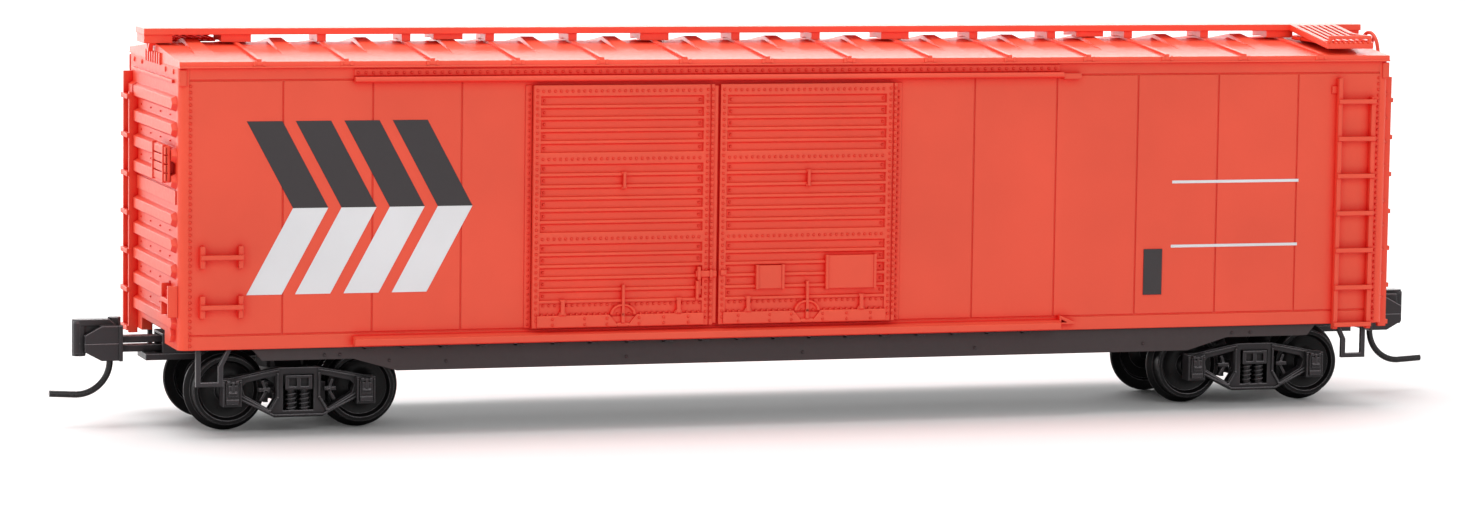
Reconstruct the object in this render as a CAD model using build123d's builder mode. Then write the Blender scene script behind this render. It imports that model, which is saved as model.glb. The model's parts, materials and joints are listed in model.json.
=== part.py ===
from build123d import *
import os

# Driving dimensions of the model boxcar in millimetres.
# The car stands on its wheel flanges at z = 0, X runs along it and the hand brake is at its +X end.

# Body box
body_length = 100.0
body_width = 19.4
side_foot = 6.9
side_height = 21.45
side_wall = 0.8
end_wall = 0.8
corner_radius = 0.55
overrun = 1.0

# Side sheets, their seams as shares of the body's length
seam_pitch_share = 0.07
seam_width = 0.13
seam_depth = 0.06
sill_line_rise = 1.1
plate_line_drop = 0.95
corner_line_inset = 0.61
post_width = 0.55
post_rise = 0.08

# Roof
eave_overhang = 0.15
eave_depth = 0.48
drip_depth = 0.12
drip_rise = 0.12
roof_rise = 0.92
roof_sheet = 0.6
cap_pitch_share = 0.0675
cap_pairs = 7
cap_width = 0.34
cap_height = 0.2
hump_width = 1.0
hump_foot_width = 1.9
hump_height = 0.33
hump_reach_share = 0.66
louvre_count = 7
louvre_pitch = 0.9
louvre_width = 0.34
louvre_height = 0.9
louvre_rise = 0.16
louvre_lift = 0.05
gable_bar_length = 15.8
gable_bar_height = 0.26
gable_bar_drop = 1.1
gable_bar_rise = 0.2

# Running board
board_overhang = 1.1
board_width = 3.4
board_thickness = 0.5
board_lift = 0.65
saddle_width = 0.7
block_width = 2.35
end_block_width = 2.2
end_block_inset = 0.05
bracket_width = 0.5
bracket_depth = 0.35
bracket_spread = 1.7
bracket_drop = 1.35
platform_width = 4.1
platform_inset = 1.2
platform_reach = 9.2
platform_drop = 1.05
slot_pitch = 0.58
slot_width = 0.3
slot_columns = 6
slot_gap = 0.35
rail_lift = 0.42
rail_size = 0.26

# Doors and their tracks
door_width = 14.6
door_height = 18.85
door_gap = 0.5
door_sheet = 0.36
door_stand = 0.16
door_foot = 1.15
door_travel = 13.5
doorway_lap = 0.5
doorway_head = 0.3
pocket_pitch = 0.92
pocket_height = 0.7
pocket_depth = 0.17
pocket_taper = 25
door_stile = 0.55
door_edge = 0.32
top_batten = 0.85
middle_batten = 0.9
skirt_strip = 1.1
skirt_depth = 0.09
handle_length = 1.25
handle_width = 0.22
handle_rise = 0.2
handle_drop = 7.4
roller_lift = 0.9
roller_bar = 2.4
latch_width = 1.1
latch_height = 0.5
latch_lift = 4.0
latch_lever = 1.6
track_rise = 0.62
upper_track_depth = 0.45
lower_track_depth = 0.7
lower_track_rise = 0.9
track_gap = 0.3
track_overlap = 0.6
stop_length = 1.5
stop_height = 0.45
stop_rise = 0.5
stop_drop = 0.1
wedge_length = 1.35
wedge_height = 0.75
wedge_wall = 0.16

# Ends: rib heights count from the seam between the two end sheets
end_seam_lift = 11.05
end_rib_pitch = 1.97
end_rib_height = 1.2
end_rib_rise = 0.38
end_rib_taper = 28
end_rib_inset = 0.6
end_rib_chamfer = 0.5
upper_rib_count = 4
upper_rib_lift = 1.75
lower_rib_count = 5
lower_rib_drop = 1.15
end_lap_rise = 0.1
end_lap_height = 1.05
end_notch_width = 9.0
end_notch_rise = 1.0
pocket_cup_radius = 0.6
pocket_cup_inset = 1.6
pocket_cup_lift = 1.1
board_panel_width = 5.1
board_panel_height = 2.75
board_panel_stand = 0.72
board_panel_sheet = 0.3
board_panel_place = 5.9
board_panel_lift = 14.1
board_panel_slat = 0.12
end_grab_width = 2.9
end_grab_plate = 2.4
end_grab_place = 7.85
end_grab_lift = 3.7

# Floor and underframe
floor_foot = 7.4
floor_thickness = 0.8
sill_depth = 2.2
sill_width = 2.4
sill_flange = 0.55
sill_flange_thickness = 0.3
sill_length_share = 0.58
bearer_count = 4
bearer_depth = 1.3
bearer_width = 0.7
bolster_width = 2.6
bolster_depth = 0.35
centre_plate_radius = 1.9
running_gap = 0.1
stringer_width = 0.4
stringer_depth = 0.45
stringer_place = 5.2
weight_thickness = 1.0
weight_margin = 1.5
side_sill_inset = 5.75
side_sill_thickness = 0.6
side_sill_set_back = 0.35
side_sill_shallow = 0.95
side_sill_deep = 1.95
side_sill_corner = 0.8
side_sill_flat = 7.1
side_sill_ramp = 3.45

# Trucks, placed from the ends of the body
truck_inset = 10.0
wheelbase = 10.5
flange_radius = 3.2
tread_radius = 2.7
flange_width = 0.42
wheel_width = 1.5
wheel_back = 3.8
web_recess = 0.38
axle_radius = 0.55
stub_radius = 0.32
journal_clear = 0.06
frame_gap = 0.45
frame_thickness = 0.85
arch_rise = 1.85
truss_drop = 2.0
chord_recess = 0.25
journal_width = 1.45
journal_height = 2.1
journal_rise = 0.45
lid_margin = 0.22
lid_rise = 0.15
truck_bolster_width = 2.1
truck_bolster_height = 1.1
truck_bolster_top = 4.45
bolster_end_rise = 0.2
bolster_end_hole = 0.62
bolster_web = 0.3
bolster_arch = 1.2
spring_plate = 0.4
spring_radius = 0.36
spring_spread = 1.05
shoe_width = 0.9
shoe_thickness = 0.35
shoe_height = 1.5
shoe_gap = 0.12
brake_beam = 0.45

# King pins
pin_radius = 0.85
pin_clear = 0.06
pin_head_radius = 1.3
pin_head_height = 0.4

# Couplers, swung in boxes on the trucks and placed from the ends of the body
box_width = 3.4
box_height = 1.55
box_wall = 0.3
box_roof = 0.2
box_set_back = 0.4
box_depth = 4.3
box_top_gap = 0.1
lid_reach = 0.9
lid_thickness = 0.5
tongue_width = 2.2
tongue_thickness = 0.7
shank_width = 0.95
shank_height = 0.54
shank_split = 0.16
post_radius = 0.45
coupler_pivot_inset = 3.1
head_reach = 2.65
head_length = 2.95
head_width = 3.0
head_height = 2.7
head_slope = 1.3
head_slope_drop = 0.7
head_lift = 0.175
jaw_depth = 1.6
jaw_wall = 0.6
knuckle_radius = 0.53
knuckle_reach = 0.3
knuckle_place = 0.5
knuckle_rise = 1.85
knuckle_drop = 1.0
knuckle_arm_reach = 0.95
lug_radius = 0.5
trip_radius = 0.26
trip_reach = 3.4
trip_run = 4.75
trip_low = 2.45
trip_lift = 0.12

# Ladders, grab irons and steps
rod = 0.36
ladder_width = 3.3
ladder_inset = 2.95
ladder_stand = 0.5
rung_pitch = 3.04
rung_count = 7
ladder_drop = 1.35
stile_top = 1.9
side_grab_width = 3.3
side_grab_inset = 3.25
side_grab_lifts = (7.1, 3.3)
grab_plate = 1.7
step_width = 2.1
step_drop = 2.85
step_inset = 2.45
step_kick = 1.3
end_ladder_inset = 2.15
end_ladder_width = 2.6
end_ladder_stand = 0.7
stile_clear = 0.05

# Hand brake
brake_wheel_radius = 1.9
brake_rim = 0.16
brake_wheel_drop = 0.2
brake_wheel_stand = 1.35
brake_wheel_place = 2.9
brake_box_width = 1.7
brake_box_height = 2.2
brake_box_depth = 0.75
brake_rod_radius = 0.16
brake_step_width = 4.2
brake_step_depth = 1.5
brake_step_lift = 13.4
brake_step_thickness = 0.25

# Air brake gear under the floor, placed from the middle of the car
tank_radius = 1.15
tank_length = 7.0
cylinder_radius = 0.95
cylinder_length = 4.0
valve_size = 1.6

# Worked out from the driving dimensions
half_length = body_length / 2
half_width = body_width / 2
side_top = side_foot + side_height
side_length = body_length - 2 * end_wall
seam_pitch = body_length * seam_pitch_share
cap_pitch = body_length * cap_pitch_share
eave_half = half_width + eave_overhang
eave_top = side_top + eave_depth
ridge_top = eave_top + roof_rise
board_foot = ridge_top + board_lift
door_low = side_foot + door_foot
door_high = door_low + door_height
door_back = half_width + door_stand
door_face = door_back + door_sheet
doorway_low = door_low + doorway_lap
doorway_high = door_high + doorway_head
doorway_span = 2 * door_width + door_gap - 2 * doorway_lap
doorway_middle = -(door_width + door_gap) / 2
floor_top = floor_foot + floor_thickness
truck_place = half_length - truck_inset
half_base = wheelbase / 2
axle_height = flange_radius
frame_inner = wheel_back + wheel_width + frame_gap
frame_outer = frame_inner + frame_thickness
axle_tip = frame_outer - box_wall
plate_face = floor_foot - bolster_depth - running_gap
box_top = floor_foot - box_top_gap
box_foot = box_top - box_height
shank_mid = (box_foot + box_top - box_roof) / 2
head_mid = shank_mid + head_lift
sill_length = body_length * sill_length_share
bearer_pitch = (sill_length - bearer_width) / (bearer_count - 1)
underframe_width = body_width - 2 * side_sill_set_back - 2 * side_sill_thickness


def roof_line(across, lift):
    # Height of the roof's slope at a distance from the ridge, raised by the lift
    return ridge_top - roof_rise * across / eave_half + lift


def build_side():
    with BuildPart() as side:
        with BuildSketch(Plane.XZ.offset(half_width - side_wall)):
            with Locations((0, side_foot + side_height / 2)):
                Rectangle(side_length, side_height)
            with Locations((doorway_middle, (doorway_low + doorway_high) / 2)):
                Rectangle(doorway_span, doorway_high - doorway_low, mode=Mode.SUBTRACT)
        extrude(amount=side_wall)
        # Posts beside the doorway
        with BuildSketch(Plane.XZ.offset(half_width)):
            for hand in (1, -1):
                place = doorway_middle + hand * (doorway_span / 2 + doorway_lap + post_width / 2)
                with Locations((place, (door_low + door_high) / 2)):
                    Rectangle(post_width, door_height)
        extrude(amount=post_rise)
        # Lap seams between the sheets, the line over the side sill and the strips at the corners
        low = side_foot + sill_line_rise
        high = side_top - plate_line_drop
        with BuildSketch(Plane.XZ.offset(half_width)):
            for seam in (-6, -5, -4, 2, 3, 4, 5, 6):
                with Locations((seam * seam_pitch, (low + high) / 2)):
                    Rectangle(seam_width, high - low)
            with Locations((0, low), (0, high)):
                Rectangle(side_length, seam_width)
            for hand in (1, -1):
                with Locations((hand * (half_length - corner_line_inset), side_foot + side_height / 2)):
                    Rectangle(seam_width, side_height)
        extrude(amount=-seam_depth, mode=Mode.SUBTRACT)
    return side


def build_track():
    span_low = doorway_middle - door_gap / 2 - door_width - door_travel - track_overlap
    span_high = door_width / 2 + door_travel + track_overlap
    upper = door_high + doorway_head + upper_track_depth / 2
    lower = door_low - track_gap
    round_radius = upper_track_depth / 2
    with BuildPart() as track:
        # Half-round rail over the doors
        with BuildSketch(Plane.YZ.offset(span_low)):
            with Locations((-half_width - track_rise / 2 + round_radius / 2, upper)):
                Rectangle(track_rise - round_radius, upper_track_depth)
            with Locations((-half_width - track_rise + round_radius, upper)):
                Circle(round_radius)
        extrude(amount=span_high - span_low)
        with Locations((span_high + stop_length / 2, -half_width - stop_rise / 2, upper - stop_drop)):
            Box(stop_length, stop_rise, stop_height)
        # Rail under the doors, with its sloping stop
        with BuildSketch(Plane.YZ.offset(span_low)):
            with BuildLine():
                Polyline(
                    (-half_width, lower),
                    (-half_width - lower_track_rise / 2, lower),
                    (-half_width - lower_track_rise, lower - lower_track_depth / 4),
                    (-half_width - lower_track_rise, lower - lower_track_depth),
                    (-half_width, lower - lower_track_depth),
                    close=True,
                )
            make_face()
        extrude(amount=span_high - span_low)
        with BuildSketch(Plane.XZ.offset(half_width)):
            foot = lower - lower_track_depth / 2
            start = span_high
            with BuildLine():
                Polyline(
                    (start, foot), (start, foot + wedge_height), (start + wedge_length, foot + wedge_wall),
                    (start + wedge_length, foot), close=True,
                )
            make_face()
            inner = wedge_height - 3 * wedge_wall
            with BuildLine():
                Polyline(
                    (start + wedge_wall, foot + wedge_wall),
                    (start + wedge_wall, foot + wedge_wall + inner),
                    (start + wedge_length / 2, foot + wedge_wall),
                    close=True,
                )
            make_face(mode=Mode.SUBTRACT)
        extrude(amount=stop_rise)
    return track


def build_door(place, latched):
    # Each section of the door: drop of its first pocket from the door's top, and its number of pockets
    first = top_batten
    second = first + 5 * pocket_pitch + middle_batten - (pocket_pitch - pocket_height)
    third = second + 6 * pocket_pitch + middle_batten - (pocket_pitch - pocket_height)
    sections = ((first, 5), (second, 6), (third, 5))
    pocket_length = door_width - 2 * door_stile - door_edge
    with BuildPart() as door:
        with BuildSketch(Plane.XZ.offset(door_back)):
            with Locations((place, (door_low + door_high) / 2)):
                Rectangle(door_width, door_height)
        extrude(amount=door_sheet)
        with BuildSketch(Plane.XZ.offset(door_face)):
            for drop, count in sections:
                for row in range(count):
                    height = door_high - drop - row * pocket_pitch - pocket_height / 2
                    with Locations((place - door_edge / 2, height)):
                        Rectangle(pocket_length, pocket_height)
        extrude(amount=-pocket_depth, taper=pocket_taper, mode=Mode.SUBTRACT)
        # Riveted strip above the door's foot
        strip = third + 5 * pocket_pitch + skirt_strip / 2
        with BuildSketch(Plane.XZ.offset(door_face)):
            with Locations((place - door_edge / 2, door_high - strip)):
                Rectangle(pocket_length, skirt_strip)
            with Locations((place + door_width / 2 - door_edge, (door_low + door_high) / 2)):
                Rectangle(seam_width, door_height)
        extrude(amount=-skirt_depth, mode=Mode.SUBTRACT)
        # Handle, and the bar over the roller
        with BuildSketch(Plane.XZ.offset(door_face - pocket_depth)):
            with Locations((place, door_high - handle_drop)):
                Rectangle(handle_width, handle_length)
            with Locations((place, door_low + roller_lift + roller_bar / 2)):
                Rectangle(handle_width, roller_bar)
        extrude(amount=pocket_depth + handle_rise)
        if latched:
            with BuildSketch(Plane.XZ.offset(door_face - pocket_depth)):
                edge = place + door_width / 2
                with Locations((edge - latch_width / 2, door_low + latch_lift)):
                    Rectangle(latch_width, latch_height)
                with Locations((edge - latch_width, door_low + latch_lift - latch_lever / 2)):
                    Rectangle(handle_width, latch_lever)
            extrude(amount=pocket_depth + handle_rise / 2)
    return door


def build_end():
    # The A end: its ladder stands at the far side and its grab iron at the near side
    face = Plane.YZ.offset(-half_length)
    seam = side_foot + end_seam_lift
    rib_length = body_width - 2 * end_rib_inset
    with BuildPart() as end:
        with BuildSketch(Plane.XY.offset(side_foot)):
            with Locations((-half_length + end_wall / 2, 0)):
                Rectangle(end_wall, body_width)
        extrude(amount=side_height)
        fillet(end.edges().filter_by(Axis.Z).group_by(Axis.X)[0], corner_radius)
        with BuildSketch(Plane.YZ.offset(-half_length - overrun)):
            with Locations((0, side_foot)):
                Rectangle(end_notch_width, 2 * end_notch_rise)
        extrude(amount=end_wall + 2 * overrun, mode=Mode.SUBTRACT)
        # Rows of pressed ribs: height of the first rib's middle over the seam, count, direction
        rows = ((upper_rib_lift, upper_rib_count, 1), (-lower_rib_drop, lower_rib_count, -1))
        for lift, count, way in rows:
            with BuildSketch(face):
                for row in range(count):
                    with Locations((0, seam + lift + way * row * end_rib_pitch)):
                        Rectangle(rib_length, end_rib_height)
                chamfer(vertices(), end_rib_chamfer)
            extrude(amount=-end_rib_rise, taper=end_rib_taper)
        # Lap where the upper sheet covers the lower one, and the thin bar across the gable
        with BuildSketch(face):
            with Locations((0, seam + end_lap_height / 2)):
                Rectangle(rib_length - corner_radius, end_lap_height)
        extrude(amount=-end_lap_rise)
        with BuildSketch(face):
            with Locations((0, side_top - gable_bar_drop)):
                Rectangle(gable_bar_length, gable_bar_height)
        extrude(amount=-gable_bar_rise)
        # Poling pockets at the lower corners
        for hand in (1, -1):
            with BuildSketch(face):
                with Locations((hand * (half_width - pocket_cup_inset), side_foot + pocket_cup_lift)):
                    RegularPolygon(pocket_cup_radius, 8)
            extrude(amount=-end_rib_rise)
        # Tack board on two battens
        middle = side_foot + board_panel_lift
        front = board_panel_stand - board_panel_sheet
        with BuildSketch(face):
            for hand in (1, -1):
                with Locations((-board_panel_place + hand * board_panel_width / 3, middle)):
                    Rectangle(board_panel_sheet, board_panel_height - board_panel_sheet)
        extrude(amount=-front)
        with BuildSketch(face.offset(-front)):
            with Locations((-board_panel_place, middle)):
                Rectangle(board_panel_width, board_panel_height)
        extrude(amount=-board_panel_sheet)
        with BuildSketch(face.offset(-board_panel_stand)):
            with Locations((-board_panel_place, middle)):
                with GridLocations(0, board_panel_height / 4, 1, 3):
                    Rectangle(board_panel_width, board_panel_slat)
        extrude(amount=board_panel_slat, mode=Mode.SUBTRACT)
        # Grab iron between two plates
        with BuildSketch(face):
            for hand in (1, -1):
                place = -end_grab_place + hand * (end_grab_width - rod) / 2
                with Locations((place, side_foot + end_grab_lift)):
                    Rectangle(rod, end_grab_plate)
        extrude(amount=-board_panel_stand)
        with BuildSketch(face.offset(-board_panel_stand)):
            with Locations((-end_grab_place, side_foot + end_grab_lift)):
                Rectangle(end_grab_width, rod)
        extrude(amount=rod)
        # Notches where the ladder's stiles pass the ribs
        notch_height = side_height - gable_bar_drop - gable_bar_height / 2
        with BuildSketch(face):
            with Locations((half_width - end_ladder_inset, side_foot + notch_height / 2)):
                with GridLocations(end_ladder_width - rod, 0, 2, 1):
                    Rectangle(rod + 2 * stile_clear, notch_height)
        extrude(amount=-board_panel_stand, mode=Mode.SUBTRACT)
    return end


def gable_shape(half, lift, foot):
    # Outline of the roof across the car, for the points of a closed line
    eave = roof_line(half, lift)
    return (-half, foot), (-half, eave), (0, roof_line(0, lift)), (half, eave), (half, foot)


def build_roof():
    # Seam cap
    with BuildPart() as cap:
        with BuildSketch(Plane.YZ.offset(-cap_width / 2)):
            with BuildLine():
                Polyline(*gable_shape(eave_half, cap_height, eave_top - cap_height), close=True)
            make_face()
        extrude(amount=cap_width)
    # Pressed hump, full at the ridge and gone partway down each slope
    reach = eave_half * hump_reach_share
    with BuildPart() as hump:
        with BuildSketch(Plane.YZ.offset(-hump_foot_width / 2)):
            with BuildLine():
                Polyline(
                    (-reach, roof_line(reach, 0)),
                    (0, roof_line(0, hump_height)),
                    (reach, roof_line(reach, 0)),
                    (0, roof_line(0, -roof_sheet / 2)),
                    close=True,
                )
            make_face()
        extrude(amount=hump_foot_width)
        with BuildSketch(Plane.XZ.offset(-reach)):
            with BuildLine():
                foot = roof_line(reach, -roof_sheet / 2)
                crest = roof_line(0, hump_height)
                Polyline(
                    (-hump_foot_width / 2, foot), (-hump_width / 2, crest), (hump_width / 2, crest),
                    (hump_foot_width / 2, foot), close=True,
                )
            make_face()
        extrude(amount=2 * reach, mode=Mode.INTERSECT)
    with BuildPart() as roof:
        with BuildSketch(Plane.YZ.offset(-half_length)):
            with BuildLine():
                Polyline(*gable_shape(eave_half, 0, side_top), close=True)
            make_face()
        extrude(amount=body_length)
        # Drip lip along both eaves
        for hand in (1, -1):
            with Locations((0, hand * (eave_half + drip_rise / 2), side_top + drip_depth / 2)):
                Box(body_length, drip_rise, drip_depth)
        with BuildSketch(Plane.YZ.offset(-half_length + end_wall)):
            with BuildLine():
                Polyline(*gable_shape(half_width - side_wall, -roof_sheet, side_top - overrun), close=True)
            make_face()
        extrude(amount=side_length, mode=Mode.SUBTRACT)
        with Locations(*[((place + 0.5) * cap_pitch, 0) for place in range(-cap_pairs, cap_pairs)]):
            add(cap.part)
        with Locations(*[(place * cap_pitch, 0) for place in range(-cap_pairs, cap_pairs + 1)]):
            add(hump.part)
        # Louvres under the ridge at both gables
        for hand in (1, -1):
            with BuildSketch(Plane.YZ.offset(hand * half_length)):
                with Locations((0, side_top + eave_depth / 2 + louvre_lift)):
                    with GridLocations(louvre_pitch, 0, louvre_count, 1):
                        Rectangle(louvre_width, louvre_height)
            extrude(amount=hand * louvre_rise)
    return roof


def build_running_board():
    top = board_foot + board_thickness
    half = board_width / 2 - bracket_width / 2
    # A narrow saddle for each seam cap, and wider blocks on some caps and humps: width, height of its rest
    supports = []
    for width, rest in ((saddle_width, cap_height), (block_width, cap_height), (block_width, hump_height)):
        with BuildPart() as support:
            with BuildSketch(Plane.YZ.offset(-width / 2)):
                with BuildLine():
                    Polyline(*gable_shape(half, rest, board_foot), close=True)
                make_face()
            extrude(amount=width)
        supports.append(support.part)
    with BuildPart() as board:
        with Locations((0, 0, board_foot + board_thickness / 2)):
            Box(body_length + 2 * board_overhang, board_width, board_thickness)
        with Locations(*[((place + 0.5) * cap_pitch, 0) for place in range(-cap_pairs, cap_pairs)]):
            add(supports[0])
        with Locations(*[(place * cap_pitch, 0) for place in (-6.5, -1.5, 1.5, 6.5)]):
            add(supports[1])
        with Locations(*[(place * cap_pitch, 0) for place in (-4, 4)]):
            add(supports[2])
        # Corner platforms with their slots and grab rails
        for turn in (1, -1):
            middle = turn * (half_length - platform_inset - platform_width / 2)
            inner = -turn * board_width / 2
            outer = -turn * platform_reach
            with BuildSketch(Plane.YZ.offset(middle - platform_width / 2)):
                with BuildLine():
                    Polyline(
                        (inner, board_foot),
                        (inner, top),
                        (outer, top - platform_drop),
                        (outer, board_foot - platform_drop),
                        close=True,
                    )
                make_face()
            extrude(amount=platform_width)
            span = platform_reach - board_width / 2 - 2 * slot_gap
            with BuildSketch(Plane.XY.offset(board_foot - platform_drop - overrun)):
                with Locations((middle, (inner + outer) / 2)):
                    with GridLocations(slot_pitch, 0, slot_columns, 1):
                        Rectangle(slot_width, span)
            extrude(amount=platform_drop + board_thickness + 2 * overrun, mode=Mode.SUBTRACT)
            # Grab rail along the platform's outer edge and half of its side
            level = top - platform_drop + rail_lift
            half = (platform_width - rail_size - slot_gap) / 2
            near = outer + turn * rail_size / 2
            with Locations((middle, near, level)):
                Box(platform_width - slot_gap, rail_size, rail_size)
            with Locations((middle + turn * half, near + turn * platform_reach / 4, level)):
                Box(rail_size, platform_reach / 2, rail_size)
            for hand in (1, -1):
                with Locations((middle + hand * half, near, level - rail_lift / 2)):
                    Box(rail_size, rail_size, rail_lift)
        # Block and forked bracket at each gable
        for hand in (1, -1):
            block = half_length + board_overhang - end_block_inset - end_block_width / 2
            with Locations((hand * block, 0, (board_foot + ridge_top) / 2)):
                Box(end_block_width, board_width - bracket_width, board_foot - ridge_top)
            with BuildSketch(Plane.YZ.offset(hand * half_length)):
                with BuildLine():
                    half = bracket_spread / 2
                    Polyline(
                        (-half - bracket_width / 2, board_foot),
                        (-half + bracket_width / 2, board_foot),
                        (0, ridge_top - bracket_width),
                        (half - bracket_width / 2, board_foot),
                        (half + bracket_width / 2, board_foot),
                        (bracket_width / 2, board_foot - bracket_drop),
                        (-bracket_width / 2, board_foot - bracket_drop),
                        close=True,
                    )
                make_face()
            extrude(amount=hand * (louvre_rise + bracket_depth))
            with BuildSketch(Plane.YZ.offset(hand * half_length)):
                with Locations((0, side_top + eave_depth / 2 + louvre_lift)):
                    Rectangle(board_width, 2 * louvre_height)
            extrude(amount=hand * louvre_rise, mode=Mode.SUBTRACT)
    return board


def build_floor():
    with BuildPart() as floor:
        with Locations((0, 0, floor_foot + floor_thickness / 2)):
            Box(side_length, body_width - 2 * side_wall, floor_thickness)
            with Locations((truck_place, 0, 0), (-truck_place, 0, 0)):
                Cylinder(pin_radius, floor_thickness, mode=Mode.SUBTRACT)
    return floor


def build_centre_sill():
    with BuildPart() as sill:
        with Locations((0, 0, floor_foot - sill_depth / 2)):
            Box(sill_length, sill_width, sill_depth)
        with Locations((0, 0, floor_foot - sill_depth + sill_flange_thickness / 2)):
            Box(sill_length, sill_width + 2 * sill_flange, sill_flange_thickness)
        for place in range(bearer_count):
            middle = (place - (bearer_count - 1) / 2) * bearer_pitch
            with BuildSketch(Plane.YZ.offset(middle - bearer_width / 2)):
                with BuildLine():
                    half = underframe_width / 2
                    Polyline(
                        (-half, floor_foot), (-half, floor_foot - bearer_depth / 2),
                        (-sill_width, floor_foot - bearer_depth), (sill_width, floor_foot - bearer_depth),
                        (half, floor_foot - bearer_depth / 2), (half, floor_foot),
                        close=True,
                    )
                make_face()
            extrude(amount=bearer_width)
        # Floor stringers between the cross bearers
        for hand in (1, -1):
            with Locations((0, hand * stringer_place, floor_foot - stringer_depth / 2)):
                Box(sill_length, stringer_width, stringer_depth)
    return sill


def build_body_bolster():
    with BuildPart() as bolster:
        with Locations((-truck_place, 0, floor_foot - bolster_depth / 2)):
            Box(bolster_width, underframe_width, bolster_depth)
            Cylinder(pin_radius, bolster_depth, mode=Mode.SUBTRACT)
    return bolster


def build_side_sill():
    half = half_length - side_sill_inset
    shallow = side_foot - side_sill_shallow
    deep = side_foot - side_sill_deep
    ramp_top = half - side_sill_corner - side_sill_flat
    right = (
        (half, side_foot),
        (half - side_sill_corner, shallow),
        (ramp_top, shallow),
        (ramp_top - side_sill_ramp, deep),
    )
    with BuildPart() as sill:
        with BuildSketch(Plane.XZ.offset(half_width - side_sill_set_back - side_sill_thickness)):
            with BuildLine():
                Polyline(*right, *[(-along, up) for along, up in reversed(right)], close=True)
            make_face()
        extrude(amount=side_sill_thickness)
    return sill


def build_weight():
    width = body_width - 2 * side_wall - 2 * weight_margin
    with BuildPart() as weight:
        with Locations((0, 0, floor_top + weight_thickness / 2)):
            Box(side_length - 2 * weight_margin, width, weight_thickness)
    return weight


def build_ladder(plane, width, stand, place):
    # Two deep stiles and their rungs, drawn on a wall's face
    top = side_top - ladder_drop - stile_top
    low = top - (rung_count - 1) * rung_pitch
    with BuildPart() as ladder:
        with BuildSketch(plane):
            for hand in (1, -1):
                with Locations((place + hand * (width - rod) / 2, (top + low) / 2)):
                    Rectangle(rod, top - low + 2 * rod)
            with Locations((place - (width - rod) / 2, top + stile_top / 2)):
                Rectangle(rod, stile_top)
        extrude(amount=stand)
        with BuildSketch(plane.offset(stand)):
            for rung in range(rung_count):
                with Locations((place, top - rung * rung_pitch)):
                    Rectangle(width, rod)
        extrude(amount=rod / 2, both=True)
    return ladder


def build_side_ladder():
    return build_ladder(Plane.XZ.offset(half_width), ladder_width, ladder_stand, half_length - ladder_inset)


def build_end_ladder():
    # The stiles reach back to the sheet, through notches in its ribs
    sheet = Plane(origin=(-half_length, 0, 0), x_dir=(0, -1, 0), z_dir=(-1, 0, 0))
    place = -(half_width - end_ladder_inset)
    return build_ladder(sheet, end_ladder_width, end_ladder_stand, place)


def build_grab_irons():
    # Two grab irons at the left end of the near side, and their twins opposite
    with BuildPart() as irons:
        for turn in (1, -1):
            for lift in side_grab_lifts:
                middle = -turn * (half_length - side_grab_inset)
                height = side_foot + lift
                with Locations((middle, -turn * (half_width + ladder_stand), height)):
                    Box(side_grab_width, rod, rod)
                for hand in (1, -1):
                    place = middle + hand * (side_grab_width - rod) / 2
                    with Locations((place, -turn * (half_width + ladder_stand / 2), height)):
                        Box(rod, ladder_stand, grab_plate)
    return irons


def build_steps():
    with BuildPart() as steps:
        for turn in (1, -1):
            for hand in (1, -1):
                with BuildSketch(Plane.XZ.offset(hand * (half_width - side_wall / 2) - rod / 2)):
                    outer = half_length - step_inset + step_width / 2
                    inner = outer - step_width
                    with BuildLine():
                        Polyline(
                            (turn * outer, side_foot),
                            (turn * outer, side_foot - step_drop),
                            (turn * inner, side_foot - step_drop),
                            (turn * inner, side_foot - step_kick),
                            (turn * (inner - step_kick / 2), side_foot),
                            (turn * (inner - step_kick / 2 + rod), side_foot),
                            (turn * (inner + rod), side_foot - step_kick),
                            (turn * (inner + rod), side_foot - step_drop + rod),
                            (turn * (outer - rod), side_foot - step_drop + rod),
                            (turn * (outer - rod), side_foot),
                            close=True,
                        )
                    make_face()
                extrude(amount=rod)
    return steps


def build_brake_wheel():
    middle = half_length + brake_wheel_stand
    height = side_top + brake_wheel_drop
    with BuildPart() as wheel:
        with BuildSketch(Plane.YZ.offset(middle)):
            with Locations((-brake_wheel_place, height)):
                RegularPolygon(brake_wheel_radius, 16)
                RegularPolygon(brake_wheel_radius - 2 * brake_rim, 16, mode=Mode.SUBTRACT)
                with PolarLocations(0, 3, start_angle=30):
                    Rectangle(2 * brake_wheel_radius - 2 * brake_rim, 2 * brake_rim)
                RegularPolygon(3 * brake_rim, 8)
        extrude(amount=brake_rim, both=True)
        with BuildSketch(Plane.YZ.offset(half_length + brake_box_depth)):
            with Locations((-brake_wheel_place, height)):
                RegularPolygon(2 * brake_rim, 8)
        extrude(amount=brake_wheel_stand - brake_box_depth)
    return wheel


def build_brake_gear():
    height = side_top + brake_wheel_drop
    foot = side_foot + end_notch_rise
    with BuildPart() as gear:
        with BuildSketch(Plane.YZ.offset(half_length + gable_bar_rise)):
            with Locations((-brake_wheel_place, height - brake_box_height / 2)):
                Rectangle(brake_box_width, brake_box_height)
            with Locations((-brake_wheel_place, height)):
                Circle(brake_box_width / 2)
        extrude(amount=brake_box_depth - gable_bar_rise)
        place = half_length + end_rib_rise + brake_rod_radius
        with Locations((place, -brake_wheel_place, (height + foot) / 2)):
            Box(2 * brake_rod_radius, 2 * brake_rod_radius, height - foot)
    return gear


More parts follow.
